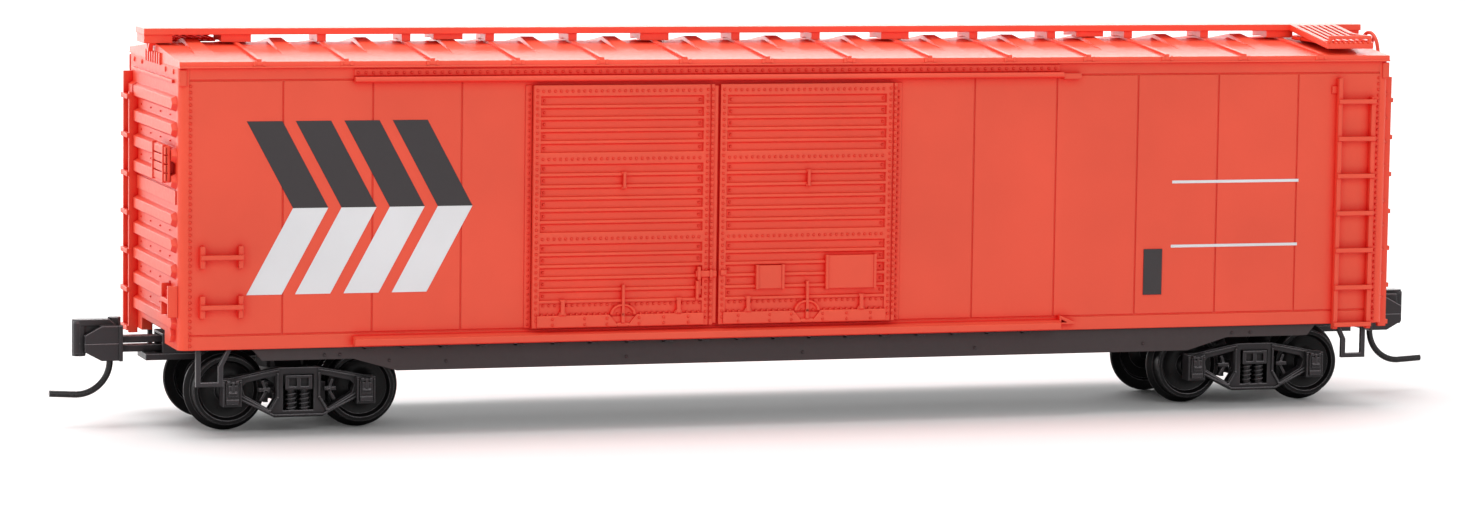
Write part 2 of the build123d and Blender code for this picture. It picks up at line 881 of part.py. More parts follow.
def build_brake_step():
    height = side_foot + brake_step_lift
    with BuildPart() as step:
        with BuildSketch(Plane.YZ.offset(half_length + end_rib_rise)):
            with Locations((-brake_wheel_place, height)):
                Rectangle(brake_step_width, brake_step_thickness)
        extrude(amount=brake_step_depth)
        for hand in (1, -1):
            with BuildSketch(Plane.XZ.offset(brake_wheel_place - hand * brake_step_width / 3)):
                with BuildLine():
                    face = half_length + end_rib_rise
                    Polyline(
                        (face, height), (face + brake_step_depth / 2, height),
                        (face, height - brake_step_depth / 2), close=True,
                    )
                make_face()
            extrude(amount=brake_step_thickness / 2, both=True)
        with Locations((half_length + end_rib_rise + brake_rod_radius, -brake_wheel_place, height)):
            Box(4 * brake_rod_radius, 4 * brake_rod_radius, 2 * brake_step_thickness, mode=Mode.SUBTRACT)
    return step


def build_air_brake():
    clear = sill_width / 2 + sill_flange
    tank_place = (clear + stringer_place) / 2 + tank_radius / 2
    with BuildPart() as air:
        # Reservoir, brake cylinder: place along the car, side, radius, length
        for along, hand, radius, length in (
            (-bearer_pitch, -1, tank_radius, tank_length),
            (bearer_pitch, 1, cylinder_radius, cylinder_length),
        ):
            across = hand * (tank_place + radius)
            with BuildSketch(Plane.YZ.offset(along - length / 2)):
                with Locations((across, floor_foot - radius - stringer_depth)):
                    RegularPolygon(radius, 12)
            extrude(amount=length)
            with Locations((along, across, floor_foot - stringer_depth - radius / 2)):
                Box(length / 2, stringer_width, radius)
        with Locations((0, -tank_place - tank_radius, floor_foot - stringer_depth - valve_size / 2)):
            Box(valve_size, valve_size, valve_size)
    return air


def build_king_pin():
    with BuildPart() as pin:
        head_top = truck_bolster_top - truck_bolster_height - running_gap
        with Locations((-truck_place, 0, (floor_top + head_top) / 2)):
            Cylinder(pin_radius, floor_top - head_top)
        with BuildSketch(Plane.XY.offset(head_top)):
            with Locations((-truck_place, 0)):
                RegularPolygon(pin_head_radius, 8)
        extrude(amount=-pin_head_height)
    return pin


def build_truck_frame():
    # Half outline of a side frame, as shares of half the wheelbase and of its rise or drop
    outline_shares = ((0.29, 1.0), (1.0, 0.62), (1.13, 0.60), (1.13, -0.3), (0.88, -0.3), (0.36, -1.0))
    window_shares = ((0.34, 0.68), (0.78, 0.40), (0.84, 0.22), (0.80, -0.12), (0.44, -0.66), (0.33, -0.2))
    opening_shares = (0.23, 0.70, -0.74)

    def spot(across, up):
        height = arch_rise if up > 0 else truss_drop
        return across * half_base, axle_height + up * height

    with BuildPart() as frame:
        for hand in (1, -1):
            with BuildSketch(Plane.XZ.offset(-hand * frame_inner)):
                with BuildLine():
                    half = [spot(across, up) for across, up in outline_shares]
                    Polyline(*half, *[(-across, up) for across, up in reversed(half)], close=True)
                make_face()
                for side in (1, -1):
                    with BuildSketch(Plane.XZ.offset(-hand * frame_inner), mode=Mode.SUBTRACT):
                        with BuildLine():
                            Polyline(*[spot(side * across, up) for across, up in window_shares], close=True)
                        make_face()
                reach, high, low = opening_shares
                with BuildLine():
                    corners = (spot(reach, high), spot(reach, low), spot(-reach, low), spot(-reach, high))
                    Polyline(*corners, close=True)
                make_face(mode=Mode.SUBTRACT)
            extrude(amount=-hand * frame_thickness)
            # Journal boxes with their lids
            for end in (1, -1):
                middle = frame_inner + (frame_thickness + journal_rise) / 2
                with Locations((end * half_base, hand * middle, axle_height)):
                    Box(journal_width, frame_thickness + journal_rise, journal_height)
                lid_middle = frame_outer + journal_rise + lid_rise / 2
                with Locations((end * half_base, hand * lid_middle, axle_height + lid_margin / 2)):
                    Box(journal_width - 2 * lid_margin, lid_rise, journal_height - 3 * lid_margin)
            # Spring posts under the bolster's end
            low = axle_height + opening_shares[2] * truss_drop
            with BuildSketch(Plane.XY.offset(low)):
                with Locations((0, hand * (frame_inner + frame_thickness / 2))):
                    with GridLocations(spring_spread, 0, 2, 1):
                        RegularPolygon(spring_radius, 8)
            extrude(amount=truck_bolster_top - truck_bolster_height - low)
            # Plate behind the springs
            span = truck_bolster_top - truck_bolster_height - low
            with Locations((0, hand * (frame_inner - spring_plate / 2), low + span / 2)):
                Box(2 * (opening_shares[0] * half_base + bolster_web), spring_plate, span + 2 * bolster_web)
        # Bolster, its ends a little proud of the side frames, with two square pockets in each
        middle = truck_bolster_top - truck_bolster_height / 2
        tip = frame_outer + bolster_end_rise
        with Locations((0, 0, middle)):
            Box(truck_bolster_width, 2 * tip, truck_bolster_height)
        for hand in (1, -1):
            with Locations((0, hand * tip, middle)):
                with GridLocations(bolster_end_hole + bolster_web, 0, 2, 1):
                    Box(bolster_end_hole, 2 * chord_recess, bolster_end_hole, mode=Mode.SUBTRACT)
        # Middle of the bolster rises to the centre plate
        with BuildSketch(Plane.YZ.offset(-truck_bolster_width / 2)):
            with BuildLine():
                half = wheel_back - bolster_web
                Polyline(
                    (-half, truck_bolster_top), (-centre_plate_radius, truck_bolster_top + bolster_arch),
                    (centre_plate_radius, truck_bolster_top + bolster_arch), (half, truck_bolster_top),
                    close=True,
                )
            make_face()
        extrude(amount=truck_bolster_width)
        with BuildSketch(Plane.XY.offset(truck_bolster_top)):
            RegularPolygon(centre_plate_radius, 8)
        extrude(amount=plate_face - truck_bolster_top)
        # Brake beams with a shoe at each wheel
        for end in (1, -1):
            tread = half_base - tread_radius - shoe_gap - shoe_thickness / 2
            beam = half_base - flange_radius - shoe_gap - brake_beam / 2
            with Locations((end * beam, 0, axle_height - brake_beam)):
                Box(brake_beam, 2 * (wheel_back + flange_width + shoe_gap), brake_beam)
            for hand in (1, -1):
                shoe = wheel_back + flange_width + shoe_gap + shoe_width / 2
                with Locations((end * (tread + beam) / 2, hand * shoe, axle_height - brake_beam)):
                    Box(tread - beam + shoe_thickness, shoe_width, brake_beam)
                with Locations((end * tread, hand * shoe, axle_height - brake_beam / 2)):
                    Box(shoe_thickness, shoe_width, shoe_height)
                reach = frame_inner - shoe - shoe_width / 2
                with Locations((end * beam, hand * (frame_inner - reach / 2), axle_height - brake_beam)):
                    Box(brake_beam, reach + brake_beam, brake_beam)
        # Coupler box on its tongue, open at the front
        front = truck_inset - box_set_back
        rear = front - box_depth
        with Locations((-rear / 2, 0, box_foot + tongue_thickness / 2)):
            Box(rear, tongue_width, tongue_thickness)
        with Locations((-(rear + front) / 2, 0, (box_foot + box_top) / 2)):
            Box(box_depth, box_width, box_height)
            with Locations((-box_wall / 2, 0, -box_roof)):
                Box(box_depth - box_wall, box_width - 2 * box_wall, box_height, mode=Mode.SUBTRACT)
        pivot = truck_inset - coupler_pivot_inset
        with BuildSketch(Plane.XY.offset(box_foot)):
            with Locations((-pivot, 0)):
                RegularPolygon(post_radius, 8)
        extrude(amount=box_height)
        # Eight-sided bore for the king pin, and sockets for the axle stubs
        with BuildSketch(Plane.XY.offset(plate_face)):
            RegularPolygon(pin_radius + pin_clear, 8, major_radius=False)
        extrude(amount=truck_bolster_top - truck_bolster_height - plate_face, mode=Mode.SUBTRACT)
        with BuildSketch(Plane.XZ.offset(axle_tip + journal_clear)):
            with Locations((half_base, axle_height), (-half_base, axle_height)):
                RegularPolygon(stub_radius + journal_clear, 8, major_radius=False)
        extrude(amount=-2 * (axle_tip + journal_clear), mode=Mode.SUBTRACT)
    return frame


def build_lid():
    # The lid closes the coupler box from below and reaches out past it as a shelf
    depth = box_depth + box_set_back + lid_reach
    with BuildPart() as lid:
        with Locations((-truck_inset - lid_reach + depth / 2, 0, box_foot - lid_thickness / 2)):
            Box(depth, box_width, lid_thickness)
    return lid


def build_wheelset():
    outer = wheel_back + wheel_width
    # Half profile of a wheel: distance from the car's centre plane, distance from the axle's axis
    profile = (
        (wheel_back, 0),
        (wheel_back, flange_radius),
        (wheel_back + flange_width, tread_radius),
        (outer, tread_radius),
        (outer - web_recess, 0),
    )
    with BuildPart() as wheelset:
        for hand in (1, -1):
            with BuildSketch(Plane.YZ):
                with BuildLine():
                    points = [(hand * across, axle_height + radius) for across, radius in profile]
                    Polyline(*points, close=True)
                make_face()
            revolve(axis=Axis((0, 0, axle_height), (0, 1, 0)))
        # Axle between the wheels, and its thinner ends: radius, half of its length
        for radius, half in ((axle_radius, wheel_back), (stub_radius, axle_tip)):
            with BuildSketch(Plane.XZ):
                with Locations((0, axle_height)):
                    RegularPolygon(radius, 12)
            extrude(amount=half, both=True)
    return wheelset


def build_coupler_half(hand):
    # hand 1 is the upper half, hand -1 the lower half; they meet at the middle of the head's side
    pivot = truck_inset - coupler_pivot_inset
    back = truck_inset + head_reach
    front = back + head_length
    level = shank_mid + hand * shank_split / 2
    tall = head_height / 2
    with BuildPart() as half:
        with BuildSketch(Plane.XY.offset(level)):
            with Locations((-pivot, 0)):
                RegularPolygon(shank_width, 8)
            with Locations((-(pivot + back) / 2, 0)):
                Rectangle(back - pivot, shank_width)
            with Locations((-pivot, 0)):
                RegularPolygon(post_radius + pin_clear, 8, major_radius=False, mode=Mode.SUBTRACT)
        extrude(amount=hand * shank_height)
        # Head, sloped towards its front and open there
        with BuildSketch(Plane.XZ.offset(-head_width / 2)):
            with BuildLine():
                Polyline(
                    (-back, head_mid),
                    (-back, head_mid + hand * tall),
                    (-front + head_slope, head_mid + hand * tall),
                    (-front, head_mid + hand * (tall - head_slope_drop)),
                    (-front, head_mid),
                    close=True,
                )
            make_face()
        extrude(amount=head_width)
        with Locations((-front + jaw_depth / 2, 0, head_mid + hand * tall)):
            Box(jaw_depth, head_width - 2 * jaw_wall, head_height, mode=Mode.SUBTRACT)
        # Half of the knuckle's upright post
        with BuildSketch(Plane.XY.offset(head_mid)):
            with Locations((-front - knuckle_reach, -knuckle_place)):
                RegularPolygon(knuckle_radius, 8)
        extrude(amount=hand * (knuckle_rise if hand > 0 else knuckle_drop))
        # Arm from the post to the head, and the lug behind it
        if hand > 0:
            with BuildSketch(Plane.XZ.offset(knuckle_place - knuckle_radius)):
                arm = back + knuckle_arm_reach
                with BuildLine():
                    Polyline(
                        (-front - knuckle_reach, head_mid + knuckle_rise),
                        (-arm, head_mid + knuckle_rise),
                        (-arm + lug_radius, head_mid + tall),
                        (-front - knuckle_reach, head_mid + tall),
                        close=True,
                    )
                make_face()
            extrude(amount=2 * knuckle_radius)
            with BuildSketch(Plane.XY.offset(head_mid + tall)):
                with Locations((-back - lug_radius, -knuckle_place)):
                    RegularPolygon(lug_radius, 6)
            extrude(amount=knuckle_rise - tall + trip_lift)
    return half


def build_trip_pin():
    place = truck_inset + trip_reach
    high = head_mid - head_height / 2
    with BuildPart() as pin:
        with BuildLine(Plane.XZ):
            FilletPolyline(
                (-place, high),
                (-place, trip_low),
                (-place - trip_run, trip_low + trip_lift),
                radius=high - trip_low - trip_radius / 2,
            )
        with BuildSketch(Plane((-place, 0, high), z_dir=(0, 0, -1))):
            RegularPolygon(trip_radius, 6)
        sweep()
    return pin


os.makedirs("parts", exist_ok=True)
pieces = {}


def keep(name, piece):
    piece.part.label = name
    pieces[name] = piece.part


def keep_turned(name, piece):
    # The far side and the B end are the near side and the A end turned half round
    with BuildPart() as turned:
        add(piece.part, rotation=(0, 0, 180))
    keep(name, turned)


for name, build in (
    ("side", build_side),
    ("side_sill", build_side_sill),
    ("door_track", build_track),
    ("ladder_side", build_side_ladder),
):
    piece = build()
    keep(name + "_left", piece)
    keep_turned(name + "_right", piece)

for letter, place in (("a", -door_width - door_gap), ("b", 0)):
    piece = build_door(place, letter == "a")
    keep("door_left_" + letter, piece)
    keep_turned("door_right_" + letter, piece)

for name, build in (
    ("end", build_end),
    ("ladder_end", build_end_ladder),
    ("body_bolster", build_body_bolster),
    ("king_pin", build_king_pin),
):
    piece = build()
    keep(name + "_a", piece)
    keep_turned(name + "_b", piece)

for name, build in (
    ("roof", build_roof),
    ("running_board", build_running_board),
    ("floor", build_floor),
    ("centre_sill", build_centre_sill),
    ("weight", build_weight),
    ("grab_irons", build_grab_irons),
    ("sill_steps", build_steps),
    ("brake_wheel", build_brake_wheel),
    ("brake_gear", build_brake_gear),
    ("brake_step", build_brake_step),
    ("air_brake", build_air_brake),
):
    keep(name, build())

truck_pieces = (
    ("truck_frame", build_truck_frame(), 0),
    ("coupler_lid", build_lid(), 0),
    ("wheelset_outer", build_wheelset(), -half_base),
    ("wheelset_inner", build_wheelset(), half_base),
    ("coupler_upper", build_coupler_half(1), 0),
    ("coupler_lower", build_coupler_half(-1), 0),
    ("trip_pin", build_trip_pin(), 0),
)
for name, piece, offset in truck_pieces:
    with BuildPart() as placed:
        with Locations((offset - truck_place, 0, 0)):
            add(piece.part)
    keep(name + "_a", placed)
    keep_turned(name + "_b", placed)

for name, part in pieces.items():
    export_step(part, f"parts/{name}.step")
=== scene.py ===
# %% [markdown]
# # A small double-door boxcar
#
# The real object is a moulded model of a goods wagon, about eleven centimetres long: a red body of satin
# plastic, a black underframe and two black trucks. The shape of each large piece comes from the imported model.
# This file gives every surface its finish and adds what is too fine for that model: rivets, springs, wires,
# latches and printed marks.
#
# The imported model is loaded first, because all that follows is placed on it.

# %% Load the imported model
import json
import math

import bpy
from mathutils import Matrix, Vector


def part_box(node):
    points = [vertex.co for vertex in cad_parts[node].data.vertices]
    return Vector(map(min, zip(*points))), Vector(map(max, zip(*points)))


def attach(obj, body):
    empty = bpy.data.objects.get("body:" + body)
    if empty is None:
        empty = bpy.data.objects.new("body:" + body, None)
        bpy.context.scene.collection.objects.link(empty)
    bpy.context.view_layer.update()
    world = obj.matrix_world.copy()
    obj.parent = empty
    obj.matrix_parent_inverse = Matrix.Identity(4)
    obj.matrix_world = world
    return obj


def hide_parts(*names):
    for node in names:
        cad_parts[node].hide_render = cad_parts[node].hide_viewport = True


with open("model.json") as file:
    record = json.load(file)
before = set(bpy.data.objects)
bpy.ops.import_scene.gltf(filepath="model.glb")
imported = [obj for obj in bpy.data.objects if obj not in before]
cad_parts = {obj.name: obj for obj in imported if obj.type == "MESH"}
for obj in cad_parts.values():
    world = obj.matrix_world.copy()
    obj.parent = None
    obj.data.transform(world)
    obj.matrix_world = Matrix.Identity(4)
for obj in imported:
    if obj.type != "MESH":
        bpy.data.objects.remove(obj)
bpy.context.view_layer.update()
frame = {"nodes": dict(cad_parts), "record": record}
nodes = frame["nodes"]
print("nodes loaded:", len(nodes))

# %% [markdown]
# ## Measures and hands
#
# The object is so small that millimetres are the natural unit, while Blender works in metres here. A few
# helpers stand for what a hand does in the window: pick a piece, name it, and settle its place into its mesh.
# A finished piece sits at the origin, so that patterns on object coordinates stay where they belong.

# %% Units and picking
MM = 0.001
HALF_TURN = Matrix.Rotation(math.pi, 4, "Z")


def low_of(node):
    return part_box(node)[0] / MM


def high_of(node):
    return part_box(node)[1] / MM


def pick(*pieces):
    if bpy.context.object and bpy.context.object.mode != "OBJECT":
        bpy.ops.object.mode_set(mode="OBJECT")
    bpy.ops.object.select_all(action="DESELECT")
    for piece in pieces:
        piece.select_set(True)
        bpy.context.view_layer.objects.active = piece


def settle(piece):
    pick(piece)
    bpy.ops.object.transform_apply(location=True, rotation=True, scale=True)
    return piece


def named_as(piece, name):
    piece.name = name
    piece.data.name = name
    return piece


def named(name):
    return named_as(bpy.context.object, name)


# %% [markdown]
# ## Steps that materials share
#
# Materials and the world's light are small networks of nodes. Three steps come again and again: a Map Range node
# turns one span of values into another, a Math node joins two values, and a Noise node spots the surface.

# %% Helpers for nodes
def spread(tree, source, reads=(0.0, 1.0), gives=(0.0, 1.0)):
    step = tree.nodes.new("ShaderNodeMapRange")
    step.inputs["From Min"].default_value, step.inputs["From Max"].default_value = reads
    step.inputs["To Min"].default_value, step.inputs["To Max"].default_value = gives
    tree.links.new(source, step.inputs["Value"])
    return step.outputs["Result"]


def reckon(tree, operation, first, second):
    step = tree.nodes.new("ShaderNodeMath")
    step.operation = operation
    tree.links.new(first, step.inputs[0])
    tree.links.new(second, step.inputs[1])
    return step.outputs[0]


def noise(tree, vector, scale, detail=2.0):
    step = tree.nodes.new("ShaderNodeTexNoise")
    step.inputs["Scale"].default_value = scale
    step.inputs["Detail"].default_value = detail
    tree.links.new(vector, step.inputs["Vector"])
    return step.outputs["Fac"]


# %% [markdown]
# ## The camera
#
# The photograph was taken from a good distance with a long lens, a little above the car and to its left. The
# camera's place was worked out from corners of the car whose places are known.

# %% Camera
EYE = Vector((-126.8, -385.7, 53.36)) * MM
LOOK = (84.355, -0.863, -18.497)
LENS = 124.18
SHIFT = (-0.0455, -0.0063)

camera_data = bpy.data.cameras.new("view")
camera_data.lens = LENS
camera_data.sensor_width = 36
camera_data.shift_x, camera_data.shift_y = SHIFT
camera_data.clip_start = 0.01
camera_data.clip_end = 20
camera = bpy.data.objects.new("view", camera_data)
camera.location = EYE
camera.rotation_euler = [math.radians(turn) for turn in LOOK]
bpy.context.scene.collection.objects.link(camera)
bpy.context.scene.camera = camera
print("camera at", tuple(round(value, 3) for value in camera.location))

# %% [markdown]
# ## Light and floor
#
# Pale studio light: a wide lamp over the roof, weak ones at the left and beside the camera, and two low ones
# behind the car, whose light the end and the roof throw back as a pale sheen. The world is white where it is
# seen, and fills the shadows more weakly. The floor is a plain pale sheet that keeps the car's shadow.

# %% Lamps
LAMPS = (
    # name, place, aimed at, width, height, strength in watts
    ("over the roof", (-40, 60, 420), (0, 0, 20), 500, 260, 1.5),
    ("at the left", (-430, -60, 150), (-20, 0, 15), 260, 260, 0.3),
    ("beside the camera", (120, -460, 230), (0, 0, 15), 300, 300, 0.42),
    ("behind at the left", (-190, 520, 70), (-50, 0, 15), 420, 260, 1.3),
    ("behind the roof", (230, 640, 240), (0, 0, 28), 700, 260, 1.95),
)
for name, place, target, width, height, watts in LAMPS:
    lamp_data = bpy.data.lights.new(name, "AREA")
    lamp_data.shape = "RECTANGLE"
    lamp_data.size, lamp_data.size_y = width * MM, height * MM
    lamp_data.energy = watts
    lamp = bpy.data.objects.new(name, lamp_data)
    lamp.location = Vector(place) * MM
    aim = Vector(target) * MM - lamp.location
    lamp.rotation_euler = aim.to_track_quat("-Z", "Y").to_euler()
    bpy.context.scene.collection.objects.link(lamp)
print("lamps:", len(LAMPS))

# %% World
WORLD_FILL = 0.54
world = bpy.data.worlds.new("studio")
world.use_nodes = True
bpy.context.scene.world = world
tree = world.node_tree
background = tree.nodes["Background"]
background.inputs["Color"].default_value = (1.0, 1.0, 1.0, 1.0)
paths = tree.nodes.new("ShaderNodeLightPath")
seen = reckon(tree, "MAXIMUM", paths.outputs["Is Camera Ray"], paths.outputs["Is Glossy Ray"])
seen = reckon(tree, "MAXIMUM", seen, paths.outputs["Is Transmission Ray"])
tree.links.new(spread(tree, seen, gives=(WORLD_FILL, 1.0)), background.inputs["Strength"])
bpy.context.scene.view_settings.view_transform = "Standard"

# %% Floor
FLOOR_SIZE = 6.0
FLOOR_TONE = (0.9, 0.9, 0.9, 1.0)
bpy.ops.object.select_all(action="DESELECT")
bpy.ops.mesh.primitive_plane_add(size=FLOOR_SIZE, location=(0, 0, 0))
floor_sheet = named("floor_sheet")
paper = bpy.data.materials.new("pale_paper")
paper.use_nodes = True
paper_shader = paper.node_tree.nodes["Principled BSDF"]
paper_shader.inputs["Base Color"].default_value = FLOOR_TONE
paper_shader.inputs["Roughness"].default_value = 0.9
floor_sheet.data.materials.append(paper)

# %% [markdown]
# ## Moulded plastic
#
# The body is sprayed, moulded plastic. Three things make it look real at this size: the paint is a little uneven
# in tone and gloss, raised edges carry a painted highlight and corners a painted shade, and no edge is quite
# sharp. A Bevel node bends the normal near edges. Where it bends upwards an edge takes the bright tone, a painted
# highlight for light from above, and where it bends downwards it takes the deep tone, a painted shade. Faces that
# look down and corners, which an ambient occlusion node finds, take the painted shade too. One helper makes all
# the plastics.

# %% A helper for plastics
CLOUD_SCALE = 90.0
GRAIN_SCALE = 2600.0
GRAIN_DEPTH = 0.02
CORNER_REACH = 0.8
GLOSS_SPREAD = 0.07


def plastic(name, colour, edge, shade_colour, roughness, sheen=0.42, rounding=0.05, corner_shade=1.0, rim=0.0, grain=0.35):
    material = bpy.data.materials.new(name)
    material.use_nodes = True
    tree = material.node_tree
    add, link = tree.nodes.new, tree.links.new
    shader = tree.nodes["Principled BSDF"]
    shader.inputs["Specular IOR Level"].default_value = sheen
    place = add("ShaderNodeTexCoord").outputs["Object"]

    # How far the normal is bent at an edge, and which way
    bevel = add("ShaderNodeBevel")
    bevel.samples = 4
    bevel.inputs["Radius"].default_value = rounding * MM
    bent_normal = bevel.outputs["Normal"]
    true_normal = add("ShaderNodeNewGeometry").outputs["Normal"]
    bent, straight = add("ShaderNodeSeparateXYZ"), add("ShaderNodeSeparateXYZ")
    link(bent_normal, bent.inputs[0])
    link(true_normal, straight.inputs[0])
    tilt = reckon(tree, "SUBTRACT", bent.outputs["Z"], straight.outputs["Z"])
    agree = add("ShaderNodeVectorMath")
    agree.operation = "DOT_PRODUCT"
    link(bent_normal, agree.inputs[0])
    link(true_normal, agree.inputs[1])

    # Painted highlight where an edge turns upwards and, as far as the rim asks, on every edge
    upper_edge = spread(tree, tilt, (0.04, 0.42))
    any_edge = spread(tree, agree.outputs["Value"], (0.99, 0.80), (0.0, rim))
    bright = reckon(tree, "MAXIMUM", upper_edge, any_edge)

    # Painted shade in corners, on faces that look down and where an edge turns downwards
    corner = add("ShaderNodeAmbientOcclusion")
    corner.samples = 4
    corner.inputs["Distance"].default_value = CORNER_REACH * MM
    in_corner = spread(tree, corner.outputs["AO"], (0.40, 0.92), (corner_shade, 0.0))
    looks_down = spread(tree, straight.outputs["Z"], (-0.15, -0.75), (0.0, 0.85))
    lower_edge = spread(tree, tilt, (-0.04, -0.42), (0.0, 0.9))
    painted_shade = reckon(tree, "MAXIMUM", reckon(tree, "MAXIMUM", in_corner, looks_down), lower_edge)

    # The edge colour is mixed in as a painted highlight, then the darker colour as a painted shade
    painted_highlight, tone = add("ShaderNodeMix"), add("ShaderNodeMix")
    painted_highlight.data_type = tone.data_type = "RGBA"
    painted_highlight.inputs["A"].default_value = (*colour, 1.0)
    painted_highlight.inputs["B"].default_value = (*edge, 1.0)
    tone.inputs["B"].default_value = (*shade_colour, 1.0)
    link(bright, painted_highlight.inputs["Factor"])
    link(painted_highlight.outputs["Result"], tone.inputs["A"])
    link(painted_shade, tone.inputs["Factor"])

    # Wide clouds make the tone uneven, a fine speckle the gloss and the surface
    clouds = spread(tree, noise(tree, place, CLOUD_SCALE, 3.0), (0.3, 0.7), (0.94, 1.05))
    uneven = add("ShaderNodeVectorMath")
    uneven.operation = "SCALE"
    link(tone.outputs["Result"], uneven.inputs[0])
    link(clouds, uneven.inputs["Scale"])
    link(uneven.outputs["Vector"], shader.inputs["Base Color"])
    speckle = noise(tree, place, GRAIN_SCALE)
    gloss = spread(tree, speckle, gives=(roughness - GLOSS_SPREAD, roughness + GLOSS_SPREAD))
    link(gloss, shader.inputs["Roughness"])
    bump = add("ShaderNodeBump")
    bump.inputs["Strength"].default_value = grain
    bump.inputs["Distance"].default_value = GRAIN_DEPTH * MM
    link(speckle, bump.inputs["Height"])
    link(bent_normal, bump.inputs["Normal"])
    link(bump.outputs["Normal"], shader.inputs["Normal"])
    return material


# %% Red, black and grey plastics
# In every paint the edge colour is a painted highlight on raised edges, and the darker colour a painted shade  for
# corners, lower edges and faces that look down. Rim spreads the painted highlight to every edge.
PAINTS = {
    "red_body": dict(colour=(0.80, 0.092, 0.050), edge=(1.0, 0.140, 0.066), shade_colour=(0.80, 0.006, 0.003),
                     roughness=0.46, sheen=0.22, rounding=0.11),
    # The roof's red is brighter than the body's: a painted highlight for the light from above.
    "red_roof": dict(colour=(0.94, 0.090, 0.041), edge=(1.0, 0.170, 0.080), shade_colour=(0.84, 0.012, 0.006),
                     roughness=0.38, rounding=0.08, corner_shade=0.3),
    "black_plastic": dict(colour=(0.040, 0.036, 0.039), edge=(0.44, 0.42, 0.44), shade_colour=(0.001, 0.001, 0.001),
                          roughness=0.34, sheen=0.16, rounding=0.11, rim=0.25),
    "sill_paint": dict(colour=(0.037, 0.025, 0.026), edge=(0.085, 0.055, 0.055), shade_colour=(0.014, 0.007, 0.007),
                       roughness=0.62),
    "wheel_plastic": dict(colour=(0.008, 0.0075, 0.008), edge=(0.46, 0.44, 0.46), shade_colour=(0.001, 0.001, 0.001),
                          roughness=0.30, sheen=0.12, rounding=0.10, rim=0.6),
    "white_print": dict(colour=(0.74, 0.74, 0.76), edge=(0.8, 0.8, 0.8), shade_colour=(0.6, 0.5, 0.5), roughness=0.5),
    "black_print": dict(colour=(0.028, 0.022, 0.024), edge=(0.06, 0.05, 0.05), shade_colour=(0.015, 0.01, 0.01),
                        roughness=0.5),
    "black_wire": dict(colour=(0.012, 0.011, 0.012), edge=(0.12, 0.11, 0.115), shade_colour=(0.004, 0.004, 0.004),
                       roughness=0.26, sheen=0.3),
}
finishes = {slot: plastic(slot, **paint) for slot, paint in PAINTS.items()}
# The ends take their own brighter copy of the red with a stronger sheen, tuned to how light falls on them:
# painted light.
red_end = plastic("red_ends", colour=(0.84, 0.082, 0.037), edge=(1.0, 0.170, 0.080),
                  shade_colour=(0.74, 0.008, 0.004), roughness=0.46, sheen=0.34, rounding=0.11)
# The rivets are a little darker than the body's red: painted shade.
rivet_red = plastic("red_rivets", colour=(0.78, 0.062, 0.030), edge=(1.0, 0.18, 0.09),
                    shade_colour=(0.62, 0.005, 0.003), roughness=0.42, sheen=0.22, rounding=0.03)
# The treads share the roof's brighter red, the same painted highlight, on a rougher surface.
tread_red = plastic("red_treads", colour=(0.94, 0.085, 0.036), edge=(1.0, 0.13, 0.06),
                    shade_colour=(0.70, 0.008, 0.004), roughness=0.75, sheen=0.15)

# %% [markdown]
# ## The steel plate
#
# A plain steel plate lies on the floor of the car and gives it weight. It is brushed along its length, so the
# noise is stretched along X and roughens the metal in streaks.

# %% Steel
STREAK_SCALE = (40.0, 4000.0, 4000.0)
DARK_STEEL, PALE_STEEL = (0.30, 0.30, 0.31, 1.0), (0.52, 0.52, 0.53, 1.0)
steel = bpy.data.materials.new("steel_plate")
steel.use_nodes = True
tree = steel.node_tree
shader = tree.nodes["Principled BSDF"]
shader.inputs["Metallic"].default_value = 1.0
place = tree.nodes.new("ShaderNodeTexCoord")
stretch = tree.nodes.new("ShaderNodeMapping")
stretch.inputs["Scale"].default_value = STREAK_SCALE
tree.links.new(place.outputs["Object"], stretch.inputs["Vector"])
streaks = noise(tree, stretch.outputs["Vector"], 1.0)
greys = tree.nodes.new("ShaderNodeValToRGB")
greys.color_ramp.elements[0].color = DARK_STEEL
greys.color_ramp.elements[1].color = PALE_STEEL
tree.links.new(streaks, greys.inputs["Fac"])
tree.links.new(greys.outputs["Color"], shader.inputs["Base Color"])
tree.links.new(spread(tree, streaks, gives=(0.28, 0.48)), shader.inputs["Roughness"])
finishes["steel_plate"] = steel
print("finishes:", len(finishes))

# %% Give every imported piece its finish
slot_of = {row["node"]: row["material_slot"] for row in frame["record"]["subparts"]}
for name, node in nodes.items():
    node.data.materials.clear()
    # The ends take the brighter copy of the red, which is painted light.
    node.data.materials.append(red_end if name in ("end_a", "end_b") else finishes[slot_of[name]])
print("finished nodes:", len(slot_of))

# %% [markdown]
# ## Adding a piece
#
# Every new piece rides on one body of the car and takes one finish. The far side of the car is the near side
# turned half round, and the B end is the A end turned half round, so most pieces are made once and a turned copy
# goes to the other place. An Array modifier repeats a piece along a row.

# %% Helpers that repeat a piece and hand it over
def repeated(piece, step, count):
    repeat = piece.modifiers.new("row", "ARRAY")
    repeat.count = count
    repeat.use_relative_offset = False
    repeat.use_constant_offset = True
    repeat.constant_offset_displace = Vector(step) * MM
    pick(piece)
    bpy.ops.object.modifier_apply(modifier="row")
    return piece


def joined(name, pieces):
    pick(*pieces)
    bpy.ops.object.join()
    return named(name)


def turned(piece, name):
    twin = piece.copy()
    twin.data = piece.data.copy()
    bpy.context.scene.collection.objects.link(twin)
    twin.data.transform(HALF_TURN)
    return named_as(twin, name)


def fit(piece, body, slot, material=None, replaced=()):
    settle(piece)
    piece.data.materials.clear()
    piece.data.materials.append(material or finishes[slot])
    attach(piece, body)
    if replaced:
        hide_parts(*replaced)


def both_sides(piece, name, body, slot, material=None):
    twin = turned(piece, name + "_right")
    fit(named_as(piece, name + "_left"), body, slot, material)
    fit(twin, body, slot, material)


